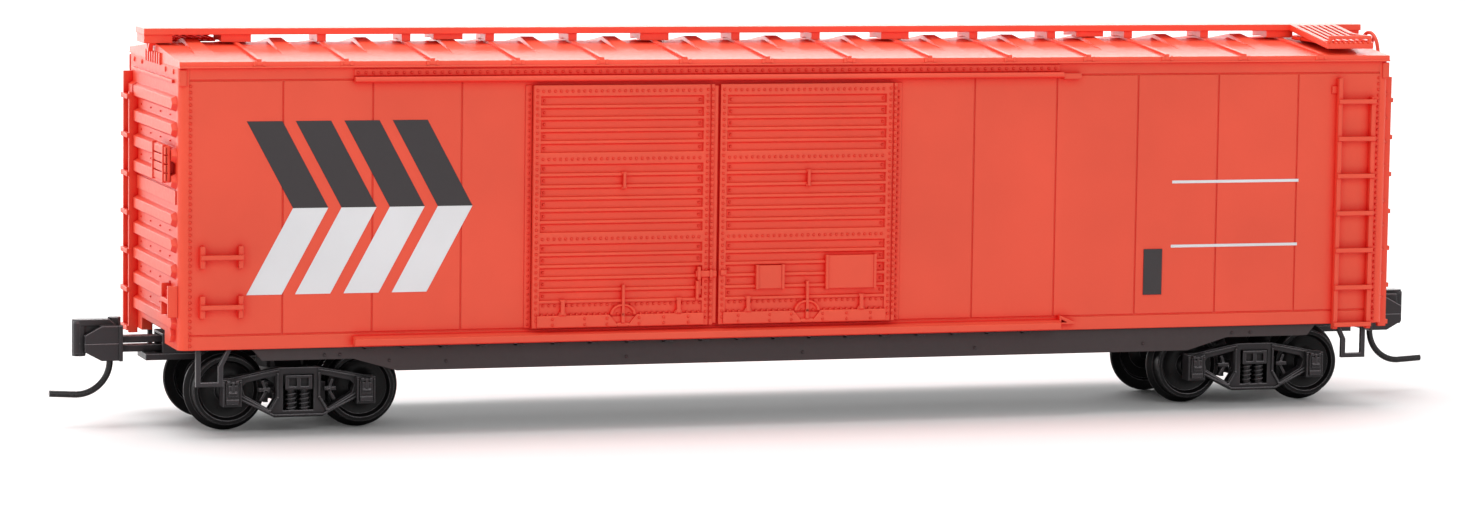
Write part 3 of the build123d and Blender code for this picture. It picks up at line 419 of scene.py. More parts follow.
def both_ends(piece, name, body, slot, replaced=None):
    twin = turned(piece, name + "_b")
    fit(named_as(piece, name + "_a"), body + "_a", slot, replaced=(replaced + "_a",) if replaced else ())
    fit(twin, body + "_b", slot, replaced=(replaced + "_b",) if replaced else ())


# %% [markdown]
# ## Turned shapes
#
# Wheels, barrels, hubs and rivets are round. Each starts as a filled circle and is drawn out in edit mode ring by
# ring, as on a lathe: extrude, move along the axis, resize to the next radius. The stations of a shape are pairs
# of height and radius. The finished shape is then laid along the axis it needs.

# %% A helper for turned shapes
ALONG = {
    "-Y": Matrix.Rotation(math.pi / 2, 4, "X"),
    "+Y": Matrix.Rotation(-math.pi / 2, 4, "X"),
    "-X": Matrix.Rotation(-math.pi / 2, 4, "Y"),
    "+X": Matrix.Rotation(math.pi / 2, 4, "Y"),
}


def turn(name, stations, sides, centre, facing, smooth=40):
    pick()
    height, radius = stations[0]
    bpy.ops.mesh.primitive_circle_add(vertices=sides, radius=radius * MM, fill_type="NGON",
                                      location=(0, 0, height * MM))
    piece = settle(named(name))
    bpy.ops.object.mode_set(mode="EDIT")
    bpy.ops.mesh.select_all(action="SELECT")
    for next_height, next_radius in stations[1:]:
        bpy.ops.mesh.extrude_region_move(TRANSFORM_OT_translate={"value": (0, 0, (next_height - height) * MM)})
        share = next_radius / radius
        bpy.ops.transform.resize(value=(share, share, 1))
        height, radius = next_height, next_radius
    bpy.ops.mesh.select_all(action="SELECT")
    bpy.ops.mesh.normals_make_consistent(inside=False)
    bpy.ops.object.mode_set(mode="OBJECT")
    pick(piece)
    bpy.ops.object.shade_smooth_by_angle(angle=math.radians(smooth))
    piece.data.transform(ALONG[facing])
    piece.data.transform(Matrix.Translation(Vector(centre) * MM))
    return piece


# %% [markdown]
# ## Wheelsets
#
# A wheelset is two wheels on one axle. The real wheels have a thin flange, a slightly tapered tread, a raised rim
# and a dished web with a hub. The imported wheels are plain, so each wheelset is turned again in one go from one
# axle end to the other, with the same flange, tread and width, and takes the plain one's place.

# %% Wheelsets
WHEEL_OUTSIDE, WHEEL_INSIDE = 5.3, 3.8
TREAD_RADIUS = 2.7


def wheelset_stations(tip, flange):
    outer, inner, tread = WHEEL_OUTSIDE, WHEEL_INSIDE, TREAD_RADIUS
    half = [
        (tip, 0.24), (tip - 0.08, 0.32), (outer, 0.32), (outer + 0.02, 0.34), (outer + 0.06, 0.72),
        (outer, 0.82), (outer - 0.28, 0.98), (outer - 0.44, 1.35), (outer - 0.47, 1.75), (outer - 0.38, 2.12),
        (outer - 0.06, 2.27), (outer, 2.34), (outer, tread - 0.08), (outer - 0.06, tread),
        (inner + 0.52, tread), (inner + 0.40, tread + 0.06), (inner + 0.27, flange - 0.08),
        (inner + 0.18, flange), (inner + 0.08, flange), (inner, flange - 0.07), (inner, 2.34),
        (inner + 0.24, 2.2), (inner + 0.34, 1.4), (inner + 0.02, 0.95), (inner - 0.1, 0.6),
    ]
    return [(-along, radius) for along, radius in half] + half[::-1]


for letter in "ab":
    for which in ("outer", "inner"):
        node = f"wheelset_{which}_{letter}"
        low, high = low_of(node), high_of(node)
        stations = wheelset_stations(tip=high.y, flange=(high.z - low.z) / 2)
        wheels = turn(node + "_turned", stations, 56, (low + high) / 2, "+Y", smooth=35)
        fit(wheels, node, "wheel_plastic", replaced=(node,))
print("wheelsets turned: 4")

# %% [markdown]
# ## Rivets
#
# Rows of tiny rivets hold the sheets. One rivet is turned as a low dome with six sides, which is enough for
# something a tenth of a millimetre high. It is repeated along its row, and all rows of a piece are joined. Each
# rivet sinks a little into the sheet, so that it has no gap under it.

# %% A helper for rows of rivets
RIVET_HEIGHT = 0.10
RIVET_FOOT = 0.05


def rivet_rows(name, facing, rows, radius=0.13, sides=6):
    # Each row: first place, step to the next rivet, number of rivets
    stations = [(-RIVET_FOOT, radius), (RIVET_HEIGHT * 0.45, radius * 0.95), (RIVET_HEIGHT, radius * 0.5)]
    lines = [repeated(turn("rivet", stations, sides, start, facing, smooth=60), step, count)
             for start, step, count in rows]
    return joined(name, lines)


# %% [markdown]
# The side sheets carry a column of rivets at each corner, one beside each doorway post, a row over the door track
# and a few bolts on the black sill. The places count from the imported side, doors and track.

# %% Rivets on the sides
side_low, side_high = low_of("side_left"), high_of("side_left")
track_low, track_high = low_of("door_track_left"), high_of("door_track_left")
door_low, door_high = low_of("door_left_a"), high_of("door_left_b")
SIDE_FACE = -high_of("end_a").y
POST_FACE = side_low.y
POST_SUNK = 0.045
CORNER_COLUMN = 49.12
FINE_PITCH = 0.47
TRACK_PITCH = 0.6
rows = [((hand * CORNER_COLUMN, SIDE_FACE, side_low.z + 0.35), (0, 0, FINE_PITCH), 43) for hand in (-1, 1)]
rows.append(((track_low.x + 0.3, SIDE_FACE - 0.1, side_high.z - 0.40), (TRACK_PITCH, 0, 0), 96))
both_sides(rivet_rows("side_rivets", "-Y", rows), "side_rivets", "car", "red_body", rivet_red)
rows = [((place, POST_FACE + POST_SUNK, door_low.z + 0.3), (0, 0, FINE_PITCH), 39)
        for place in (door_low.x - 0.28, door_high.x + 0.28)]
both_sides(rivet_rows("post_rivets", "-Y", rows), "post_rivets", "car", "red_body", rivet_red)

# %% Bolts on the black sill
SILL_FACE = low_of("side_sill_left").y
SINGLE = (0, 0, 1)
rows = [((-33.5, SILL_FACE, 5.75), SINGLE, 1), ((-29.0, SILL_FACE, 5.6), (14.5, 0, 0), 5),
        ((-38.6, SILL_FACE, 6.3), (1.2, 0, 0), 2), ((36.8, SILL_FACE, 6.3), (1.6, 0, 0), 2)]
both_sides(rivet_rows("sill_bolts", "-Y", rows, sides=8), "sill_bolts", "car", "sill_paint")
print("rows of rivets and bolts on a side: 9")

# %% [markdown]
# ## Bevelled bars and plates
#
# Latches, lids, lugs and strips are small bars and plates with softened edges. A cube is added at its size and
# place and its edges are bevelled in edit mode. Two corners, in millimetres, say where it goes. Where a plate has
# a slanted side, a second helper pushes some of its points aside.

# %% Helpers for bars and plates
def bar(name, low, high, soft=0.04, segments=2):
    low, high = Vector(low), Vector(high)
    pick()
    bpy.ops.mesh.primitive_cube_add(size=1, location=(low + high) / 2 * MM)
    piece = named(name)
    piece.scale = [abs(span) * MM for span in high - low]
    settle(piece)
    bpy.ops.object.mode_set(mode="EDIT")
    bpy.ops.mesh.select_all(action="SELECT")
    bpy.ops.mesh.bevel(offset=soft * MM, segments=segments, affect="EDGES")
    bpy.ops.object.mode_set(mode="OBJECT")
    return piece


def move_points(piece, points, step):
    pick(piece)
    bpy.ops.object.mode_set(mode="EDIT")
    bpy.ops.mesh.select_mode(type="VERT")
    bpy.ops.mesh.select_all(action="DESELECT")
    bpy.ops.object.mode_set(mode="OBJECT")
    for index in points:
        piece.data.vertices[index].select = True
    bpy.ops.object.mode_set(mode="EDIT")
    bpy.ops.transform.translate(value=Vector(step) * MM)
    bpy.ops.object.mode_set(mode="OBJECT")


# %% [markdown]
# A side has a thin strip under its eave, beyond the door track, a small plate at each upper corner and a bracket
# beside its ladder. Lugs hang the lower door track on the sill; they take the black plastic as a painted shade for
# the shadow under the track. All are laid against packed faces and sink into them a little.

# %% Strip under the eave, corner plates and a ladder bracket
STRIP_END = 21.2
CORNER_PLATE = (49.42, 50.03)
fillets = [bar("eave_strip", (track_low.x, SIDE_FACE - 0.1, track_high.z + 0.04),
               (STRIP_END, SIDE_FACE + 0.1, side_high.z - 0.12))]
for hand in (-1, 1):
    start, end = sorted(hand * edge for edge in CORNER_PLATE)
    fillets.append(bar("corner_plate", (start, SIDE_FACE - 0.12, 26.95), (end, SIDE_FACE + 0.1, 28.25),
                       soft=0.08))
fillets.append(bar("ladder_bracket", (44.95, SIDE_FACE - 0.16, 25.75), (45.45, SIDE_FACE + 0.1, 26.35)))
both_sides(joined("side_strips", fillets), "side_strips", "car", "red_body")

# %% Lugs under the lower track
# The lugs are black as a painted shade for the shadow under the track.
LUG_START, LUG_PITCH, LUG_COUNT = -35.6, 3.0, 19
lug_top = track_low.z + 0.04
lug_foot = lug_top - 0.42
foot = bar("lug_foot", (LUG_START, SILL_FACE - 0.14, lug_foot),
           (LUG_START + 0.85, SILL_FACE + 0.05, lug_foot + 0.18))
stem = bar("lug_stem", (LUG_START, SILL_FACE - 0.14, lug_foot),
           (LUG_START + 0.25, SILL_FACE + 0.05, lug_top))
lugs = [repeated(piece, (LUG_PITCH, 0, 0), LUG_COUNT) for piece in (foot, stem)]
both_sides(joined("track_lugs", lugs), "track_lugs", "car", "black_plastic")
print("track lugs on a side:", LUG_COUNT)

# %% [markdown]
# ## Roof clips
#
# Each seam cap of the roof ends at the eave in two small tabs, a millimetre apart, with a shallow bridge between
# them. They are what catches the light along the eave.

# %% Clips at the ends of the seam caps
CAP_PITCH = 6.75
CAP_PAIRS = 7
TAB_SPREAD = 0.38
roof_foot = low_of("roof").z
eave_face = low_of("roof").y + 0.12
first_cap = -(CAP_PAIRS - 0.5) * CAP_PITCH
clips = [bar("clip_tab", (place - 0.12, eave_face - 0.09, roof_foot + 0.30),
             (place + 0.12, eave_face + 0.1, roof_foot + 0.68), soft=0.03)
         for place in (first_cap - TAB_SPREAD, first_cap + TAB_SPREAD)]
clips.append(bar("clip_bridge", (first_cap - 0.3, eave_face - 0.04, roof_foot + 0.36),
                 (first_cap + 0.3, eave_face + 0.1, roof_foot + 0.64), soft=0.03))
clips = [repeated(piece, (CAP_PITCH, 0, 0), 2 * CAP_PAIRS) for piece in clips]
both_sides(joined("roof_clips", clips), "roof_clips", "car", "red_roof")

# %% [markdown]
# ## Doors
#
# The pressed doors carry rivets on every batten and stile, an arch over the roller's housing with a slanted bar at
# each side of it, two brackets and the feet of a handle. One door of each pair has the latch, a strip that covers
# the gap to its neighbour and a flange behind that gap. The other has two blank plates and an eye. All of it
# slides with its door.

# %% Rivets of a door
DOOR_WIDTH = 14.6
DOOR_FACE = -10.22
POCKET_PITCH = 0.92
POCKET_ROWS = ((1.2, 5), (6.48, 6), (12.68, 5))
BATTEN_DROPS = (0.45, 5.72, 11.92)
STILES = (0.28, DOOR_WIDTH - 0.14, DOOR_WIDTH - 0.56)
FOOT_BOLTS = (1.6, 4.2, 6.0, 8.6, 10.6, 12.6)


def door_rivets(name, left, top):
    batten, stile = (FINE_PITCH, 0, 0), (0, 0, -FINE_PITCH)
    rows = [((left + 0.75, DOOR_FACE, top - drop), batten, 28) for drop in BATTEN_DROPS]
    rows += [((left + across, DOOR_FACE, top - 0.4), stile, 39) for across in STILES]
    rows.append(((left + 0.88, DOOR_FACE + 0.09, top - 17.1), batten, 28))
    rows.append(((left + 0.75, DOOR_FACE, top - 17.82), batten, 28))
    for across in (0.86, DOOR_WIDTH - 1.16):
        for drop, count in POCKET_ROWS:
            rows.append(((left + across, DOOR_FACE + 0.16, top - drop), (0, 0, -POCKET_PITCH), count))
    rows += [((left + across, DOOR_FACE - 0.1, top - 18.15), (0, 0, -0.45), 2) for across in FOOT_BOLTS]
    return rivet_rows(name, "-Y", rows, radius=0.12)


# %% Arch over the roller, and the bars beside it
ARCH_FOOT = 0.96
ARCH_RADIUS = 1.05
ARCH_PRESS = 0.8
FOOT_BAR_SLANT = 0.72


def roller_arch(middle, height):
    # A raised ring cut in half and pressed a little flat
    ring = [(-0.15, ARCH_RADIUS), (0.14, ARCH_RADIUS), (0.19, 0.98), (0.19, 0.88), (0.14, 0.83), (0.01, 0.80)]
    piece = turn("arch", ring, 40, (middle, DOOR_FACE, 0), "-Y", smooth=30)
    pick(piece)
    bpy.ops.object.mode_set(mode="EDIT")
    bpy.ops.mesh.select_all(action="SELECT")
    bpy.ops.mesh.bisect(plane_co=(0, 0, 0), plane_no=(0, 0, 1), use_fill=True, clear_inner=True,
                        threshold=0.0000001)
    bpy.ops.mesh.select_all(action="SELECT")
    bpy.ops.transform.resize(value=(1, 1, ARCH_PRESS), center_override=(0, 0, 0))
    bpy.ops.transform.translate(value=(0, 0, height * MM))
    bpy.ops.object.mode_set(mode="OBJECT")
    return piece


def foot_bar(middle, hand, end, foot):
    # The upper corner beside the arch leans away from it
    inner = middle + hand * 0.36
    piece = bar("foot_bar", (min(end, inner), DOOR_FACE - 0.12, foot + 0.04),
                (max(end, inner), DOOR_FACE + 0.1, foot + 0.98))
    corner = [vertex.index for vertex in piece.data.vertices
              if vertex.co.z / MM > foot + 0.8 and abs(vertex.co.x / MM - inner) < 0.2]
    move_points(piece, corner, (hand * FOOT_BAR_SLANT, 0, 0))
    return piece


# %% Small fittings of a door
# Each row: name, then start and end from the door's left edge, from its face inwards and from its foot upwards
COMMON_FITTINGS = [
    ("foot_link", (6.8, 7.8), (-0.12, 0.1), (0.04, 0.34)),
    ("pull", (7.16, 7.44), (-0.2, 0.1), (0.3, 1.1)),
]
for place in (2.42, 11.82):
    COMMON_FITTINGS += [
        ("bracket", (place - 0.16, place + 0.16), (-0.2, 0.15), (1.0, 2.2)),
        ("bracket_foot", (place - 0.26, place + 0.26), (-0.15, 0.15), (0.95, 1.25)),
        ("bracket_head", (place - 0.24, place + 0.24), (-0.15, 0.15), (2.0, 2.22)),
    ]
for height in (10.85, 12.0):
    COMMON_FITTINGS.append(("handle_foot", (7.1, 7.5), (-0.13, 0.17), (height - 0.1, height + 0.1)))
LATCH_FITTINGS = [
    ("hasp", (13.2, 14.85), (-0.2, 0.1), (3.78, 4.28)),
    ("staple", (13.3, 13.55), (-0.3, 0.1), (3.55, 4.6)),
    ("keeper", (14.3, 14.52), (-0.28, 0.1), (3.7, 4.36)),
    ("lever", (13.2, 13.42), (-0.22, 0.1), (2.0, 3.5)),
    ("meeting_strip", (14.58, 14.9), (0.04, 0.3), (0.1, 18.75)),
]
FLANGE_FITTINGS = [("back_flange", (14.4, 15.35), (0.375, 0.415), (0.1, 18.75))]
PLATE_FITTINGS = []
for (start, end), (foot, head) in (((3.13, 5.26), (2.75, 4.6)), ((8.9, 12.9), (2.67, 5.3))):
    PLATE_FITTINGS.append(("plate", (start, end), (-0.16, 0.17), (foot, head)))
    for edge in (start, end):
        PLATE_FITTINGS.append(("plate_edge", (edge - 0.11, edge + 0.11), (-0.24, 0.17),
                               (foot - 0.05, head + 0.05)))
EYE_FITTINGS = [("eye", (0.1, 0.62), (-0.14, 0.1), (3.88, 4.28))]


def door_bars(left, foot, table, **finish):
    return [bar(name, (left + along[0], DOOR_FACE + inwards[0], foot + up[0]),
                (left + along[1], DOOR_FACE + inwards[1], foot + up[1]), **finish)
            for name, along, inwards, up in table]


def door_fittings(name, left, foot, latched):
    middle = left + DOOR_WIDTH / 2
    pieces = [roller_arch(middle, foot + ARCH_FOOT)]
    for hand, end in ((-1, left + 0.36), (1, left + DOOR_WIDTH - 0.72)):
        pieces.append(foot_bar(middle, hand, end, foot))
    pieces += door_bars(left, foot, COMMON_FITTINGS)
    if latched:
        pieces += door_bars(left, foot, LATCH_FITTINGS)
        pieces += door_bars(left, foot, FLANGE_FITTINGS, soft=0.01, segments=1)
    else:
        pieces += door_bars(left, foot, PLATE_FITTINGS, soft=0.03)
        pieces += door_bars(left, foot, EYE_FITTINGS)
    return joined(name, pieces)


# %% Put them on the doors
for letter in "ab":
    left_door, right_door = f"door_left_{letter}", f"door_right_{letter}"
    left, foot, top = low_of(left_door).x, low_of(left_door).z, high_of(left_door).z
    for kind, piece, material in (("rivets", door_rivets("rivets", left, top), rivet_red),
                                  ("fittings", door_fittings("fittings", left, foot, letter == "a"), None)):
        twin = turned(piece, f"{kind}_{right_door}")
        fit(named_as(piece, f"{kind}_{left_door}"), left_door, "red_body", material)
        fit(twin, right_door, "red_body", material)
print("doors fitted: 4")

# %% [markdown]
# Over the doors a narrow slot lets one look past the header. A red strip set in the slot is painted light: it
# stands in for the glow of light through the red plastic and keeps the slot deep red instead of black.

# %% Strips over the doors
strip = bar("slot_glow_strip", (door_low.x + 0.3, side_low.y + 0.1, door_high.z - 0.35),
            (door_high.x - 0.3, side_low.y + 0.35, door_high.z + 0.34))
both_sides(strip, "slot_glow_strip", "car", "red_body")

# %% [markdown]
# ## Printed marks
#
# On the real side the marks are printed on the paint. Here each mark is a thin patch laid on the side sheet: a
# herringbone of slanted bars, black above and white below, two white rules and a small black panel. A plane is
# set up facing outwards, its top edge is pushed sideways for the slant, and it is drawn out by a hair.

# %% A helper for prints
PRINT_HEIGHT = 0.03
PRINT_SUNK = 0.01


def patch(name, low, high, slant=0.0, height=PRINT_HEIGHT):
    # Two corners as (along, up) on the near side
    pick()
    middle = Vector(((low[0] + high[0]) / 2, SIDE_FACE + PRINT_SUNK, (low[1] + high[1]) / 2))
    bpy.ops.mesh.primitive_plane_add(size=1, location=middle * MM, rotation=(math.pi / 2, 0, 0))
    piece = named(name)
    piece.scale = ((high[0] - low[0]) * MM, (high[1] - low[1]) * MM, 1)
    settle(piece)
    if slant:
        top_edge = (2, 3)
        move_points(piece, top_edge, (slant, 0, 0))
    pick(piece)
    bpy.ops.object.mode_set(mode="EDIT")
    bpy.ops.mesh.select_all(action="SELECT")
    bpy.ops.mesh.extrude_region_move(TRANSFORM_OT_translate={"value": (0, -height * MM, 0)})
    bpy.ops.mesh.select_all(action="SELECT")
    bpy.ops.mesh.normals_make_consistent(inside=False)
    bpy.ops.object.mode_set(mode="OBJECT")
    return piece


# %% Herringbone of printed bars
MARK_LEFT, MARK_RIGHT = -44.8, -27.1
MARK_FOOT, MARK_MIDDLE, MARK_TOP = 11.05, 17.65, 24.3
BAR_COUNT = 4
BAR_WIDTH = 2.75
BAR_SLANT = 3.6
bar_pitch = (MARK_RIGHT - MARK_LEFT - BAR_WIDTH - BAR_SLANT) / (BAR_COUNT - 1)
upper = patch("mark_black", (MARK_LEFT + BAR_SLANT, MARK_MIDDLE), (MARK_LEFT + BAR_SLANT + BAR_WIDTH, MARK_TOP),
              -BAR_SLANT)
lower = patch("mark_white", (MARK_LEFT, MARK_FOOT), (MARK_LEFT + BAR_WIDTH, MARK_MIDDLE), BAR_SLANT)
both_sides(repeated(upper, (bar_pitch, 0, 0), BAR_COUNT), "mark_black", "car", "black_print")
both_sides(repeated(lower, (bar_pitch, 0, 0), BAR_COUNT), "mark_white", "car", "white_print")

# %% White rules and the black panel
RULE_PITCH = 5.2
rule = patch("rule", (31.1, 13.38), (42.2, 13.62))
both_sides(repeated(rule, (0, 0, RULE_PITCH), 2), "rules", "car", "white_print")
both_sides(patch("panel", (28.75, 9.6), (30.35, 13.3), height=2 * PRINT_HEIGHT), "panel", "car", "black_print")
print("printed marks on a side:", 2 * BAR_COUNT + 3)

# %% [markdown]
# ## Springs
#
# Each truck side has two coil springs between its spring seat and its bolster. A small circle is screwed up
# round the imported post, so that the coil is real and the post is its dark core.

# %% Coil springs
TRUCK_PLACE = 40.0
SPRING_SPREAD = 1.05
SPRING_ACROSS = 6.175
SPRING_LOW, SPRING_HIGH = 1.66, 3.42
COIL_RADIUS = 0.40
WIRE_RADIUS = 0.085
COIL_TURNS = 5
STEPS_IN_TURN = 14


def coil(centre):
    pick()
    bpy.ops.mesh.primitive_circle_add(vertices=7, radius=WIRE_RADIUS * MM, fill_type="NOTHING",
                                      location=(COIL_RADIUS * MM, 0, 0), rotation=(math.pi / 2, 0, 0))
    piece = settle(named("coil"))
    screw = piece.modifiers.new("coil", "SCREW")
    screw.axis = "Z"
    screw.angle = COIL_TURNS * 2 * math.pi
    screw.screw_offset = (SPRING_HIGH - SPRING_LOW) * MM
    screw.steps = screw.render_steps = COIL_TURNS * STEPS_IN_TURN
    pick(piece)
    bpy.ops.object.modifier_apply(modifier="coil")
    bpy.ops.object.mode_set(mode="EDIT")
    bpy.ops.mesh.select_all(action="SELECT")
    bpy.ops.mesh.fill_holes(sides=0)
    bpy.ops.mesh.select_all(action="SELECT")
    bpy.ops.mesh.normals_make_consistent(inside=False)
    bpy.ops.object.mode_set(mode="OBJECT")
    bpy.ops.object.shade_smooth_by_angle(angle=math.radians(60))
    piece.data.transform(Matrix.Translation(Vector(centre) * MM))
    return piece


coils = [coil((-TRUCK_PLACE + side * SPRING_SPREAD / 2, hand * SPRING_ACROSS, SPRING_LOW))
         for hand in (-1, 1) for side in (-1, 1)]
both_ends(joined("springs", coils), "springs", "truck", "black_plastic")
print("springs made:", 2 * len(coils))

# %% [markdown]
# ## Side frames
#
# A cast side frame is a channel: its edges are raised ribs. Short rails follow the arch and the lower chord, and
# behind the windows hang the arms and shoes of the brake. Each rail is a bevelled bar laid from one point to the
# next. The far frame of a truck is the near one turned half round the truck's middle.

# %% A helper for rails between two points
def rail(name, start, end, width, low, high):
    # Start and end as (along, up); low and high across the car
    along, up = end[0] - start[0], end[1] - start[1]
    length = math.hypot(along, up)
    piece = bar(name, (-length / 2 - width / 3, low, -width / 2), (length / 2 + width / 3, high, width / 2))
    piece.data.transform(Matrix.Rotation(-math.atan2(up, along), 4, "Y"))
    middle = Vector(((start[0] + end[0]) / 2, 0, (start[1] + end[1]) / 2))
    piece.data.transform(Matrix.Translation(middle * MM))
    return piece


# %% Ribs on the side frames
HALF_BASE = 5.25
AXLE_HEIGHT = 3.2
ARCH_RISE, CHORD_DROP = 1.85, 2.0
FRAME_FACE = 6.6
RIB_WIDTH = 0.16
# Points as shares of half the wheelbase and of the frame's rise or drop
ARCH_LINE = ((0.30, 0.90), (0.98, 0.53), (1.09, 0.50))
CHORD_LINE = ((1.09, -0.22), (0.90, -0.22), (0.37, -0.91))
WINDOW_LINE = ((0.31, 0.75), (0.31, -0.25), (0.43, -0.76), (0.86, -0.14))
CHORD_FOOT = ((-0.37, -0.91), (0.37, -0.91))


def frame_spot(side, share):
    height = ARCH_RISE if share[1] > 0 else CHORD_DROP
    return -TRUCK_PLACE + side * share[0] * HALF_BASE, AXLE_HEIGHT + share[1] * height


def frame_rib(side, start, end):
    return rail("rib", frame_spot(side, start), frame_spot(side, end), RIB_WIDTH,
                -FRAME_FACE - 0.14, -FRAME_FACE + 0.1)


ribs = [frame_rib(side, start, end) for side in (-1, 1) for line in (ARCH_LINE, CHORD_LINE, WINDOW_LINE)
        for start, end in zip(line, line[1:])]
ribs.append(frame_rib(1, *CHORD_FOOT))
near_ribs = joined("near_ribs", ribs)
far_ribs = turned(near_ribs, "far_ribs")
far_ribs.data.transform(Matrix.Translation((-2 * TRUCK_PLACE * MM, 0, 0)))
both_ends(joined("frame_ribs", [near_ribs, far_ribs]), "frame_ribs", "truck", "black_plastic")

# %% Brake hangers
HANGER_ACROSS = 6.15
HANGER_LINE = ((0.52, 0.42), (0.47, 0.0), (0.55, -0.36))
SHOE_LINE = ((0.42, 0.06), (0.56, 0.06))
hangers = []
for hand in (-1, 1):
    across = hand * HANGER_ACROSS
    for side in (-1, 1):
        for start, end in zip(HANGER_LINE, HANGER_LINE[1:]):
            hangers.append(rail("hanger", frame_spot(side, start), frame_spot(side, end), 0.24,
                                across - 0.15, across + 0.15))
        start, end = SHOE_LINE
        hangers.append(rail("shoe", frame_spot(side, start), frame_spot(side, end), 0.3,
                            across - 0.12, across + 0.2))
both_ends(joined("brake_hangers", hangers), "brake_hangers", "truck", "black_plastic")
print("brake hangers made: 8")

# %% [markdown]
# ## Journal boxes
#
# At the ends of a side frame the journal boxes have a lid that hangs on a hinge barrel between two lugs, with a
# strap, a cross bar and a chin under it. The box's upright edges are raised.

# %% Journal lids
LID_FACE = 7.2
BOX_FACE = 7.0
BARREL_HEIGHT = 4.05
BARREL = [(-0.44, 0.08), (-0.44, 0.15), (0.44, 0.15), (0.44, 0.08)]
LID_BARS = (
    # name, half width, how far it stands out, low, high, softness
    ("lid_plate", 0.36, 0.12, 2.95, 3.86, 0.05),
    ("lid_strap", 0.1, 0.2, 3.35, 4.12, 0.04),
    ("lid_bar", 0.3, 0.2, 3.16, 3.32, 0.04),
    ("lid_chin", 0.5, 0.08, 2.34, 2.78, 0.06),
)
lids = []
for hand in (-1, 1):
    for side in (-1, 1):
        place = -TRUCK_PLACE + side * HALF_BASE
        out, sunk = hand * LID_FACE, hand * (LID_FACE - 0.1)
        lids.append(turn("barrel", BARREL, 12, (place, out - hand * 0.02, BARREL_HEIGHT), "+X"))
        for name, half, proud, low, high, soft in LID_BARS:
            lids.append(bar(name, (place - half, sunk, low), (place + half, out + hand * proud, high), soft))
        for edge in (-1, 1):
            lug = place + edge * 0.33
            lids.append(bar("hinge_lug", (lug - 0.1, sunk, 3.9), (lug + 0.1, out + hand * 0.18, 4.2)))
            rim = place + edge * 0.64
            lids.append(bar("box_edge", (rim - 0.08, hand * BOX_FACE, 2.3),
                            (rim + 0.08, hand * (BOX_FACE + 0.12), 4.1)))
both_ends(joined("journal_lids", lids), "journal_lids", "truck", "black_plastic")
print("journal boxes dressed: 8")

# %% [markdown]
# ## Trip pins
#
# A curved wire hangs under each coupler. A circle is drawn down a little, spun through a quarter turn and drawn
# out along the tail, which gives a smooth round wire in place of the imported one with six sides.

# %% Trip pins
PIN_RADIUS = 0.26
BEND_RADIUS = 2.6
TAIL_RISE = 0.12
pin_low, pin_high = low_of("trip_pin_a"), high_of("trip_pin_a")
pin_place, pin_top = pin_high.x - PIN_RADIUS, pin_high.z + 0.08
bend_top = pin_low.z + PIN_RADIUS + BEND_RADIUS
bend_middle = pin_place - BEND_RADIUS
tail = pin_low.x - bend_middle + 0.05
pick()
bpy.ops.mesh.primitive_circle_add(vertices=16, radius=PIN_RADIUS * MM, fill_type="NGON",
                                  location=Vector((pin_place, 0, pin_top)) * MM)
wire = settle(named("trip_pin"))
bpy.ops.object.mode_set(mode="EDIT")
bpy.ops.mesh.select_all(action="SELECT")
bpy.ops.mesh.extrude_region_move(TRANSFORM_OT_translate={"value": (0, 0, (bend_top - pin_top) * MM)})
bpy.ops.mesh.spin(steps=14, angle=math.radians(90), center=Vector((bend_middle, 0, bend_top)) * MM,
                  axis=(0, -1, 0))
bpy.ops.mesh.extrude_region_move(TRANSFORM_OT_translate={"value": (tail * MM, 0, TAIL_RISE * MM)})
bpy.ops.mesh.select_all(action="SELECT")
bpy.ops.mesh.normals_make_consistent(inside=False)
bpy.ops.object.mode_set(mode="OBJECT")
bpy.ops.object.shade_smooth_by_angle(angle=math.radians(50))
both_ends(wire, "trip_wire", "coupler", "black_wire", replaced="trip_pin")

# %% [markdown]
# ## Coupler heads
#
# The swinging claw of the coupler fills the mouth of the head behind its front post, and the back of the head has
# a thin flange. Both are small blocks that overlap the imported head.

# %% Claw and flange
claw = bar("claw", (-55.75, -0.95, 6.2), (-53.9, 0.35, 8.2), soft=0.12)
front = bar("claw_front", (-56.4, -1.02, 5.62), (-55.4, 0.0, 8.4), soft=0.22, segments=3)
flange = bar("head_flange", (-52.95, -1.6, 5.2), (-52.66, 1.6, 8.0))
both_ends(joined("coupler_claw", [claw, front, flange]), "coupler_claw", "coupler", "black_plastic")
print("coupler heads dressed: 2")

# %% [markdown]
# ## Roof platforms
#
# At two opposite corners of the roof a small platform lets a man step from the ladder to the running board. Its
# tread is a row of narrow slats over a sheet, held by three cross strips.

# %% Treads
TREAD_START, TREAD_END = 44.8, 48.7
SLAT_PITCH, SLAT_COUNT = 0.43, 9
SLAT_FOOT = 29.74
sheet = bar("tread_sheet", (TREAD_START, -9.1, 29.68), (TREAD_END, -1.8, 29.80))
slat = bar("slat", (TREAD_START, -9.25, SLAT_FOOT), (TREAD_START + 0.18, -1.9, 29.98))
treads = [sheet, repeated(slat, (SLAT_PITCH, 0, 0), SLAT_COUNT)]
for across in (-7.6, -5.6, -3.6):
    treads.append(bar("cross_strip", (TREAD_START, across - 0.12, SLAT_FOOT),
                      (TREAD_END, across + 0.12, 29.93)))
both_sides(joined("platform_treads", treads), "platform_treads", "car", "red_roof", tread_red)

# %% [markdown]
# ## Hand brake
#
# The brake wheel is a thin ring with six spokes on a short shaft. The ring is a torus, the hub is turned and each
# spoke is a small bar.

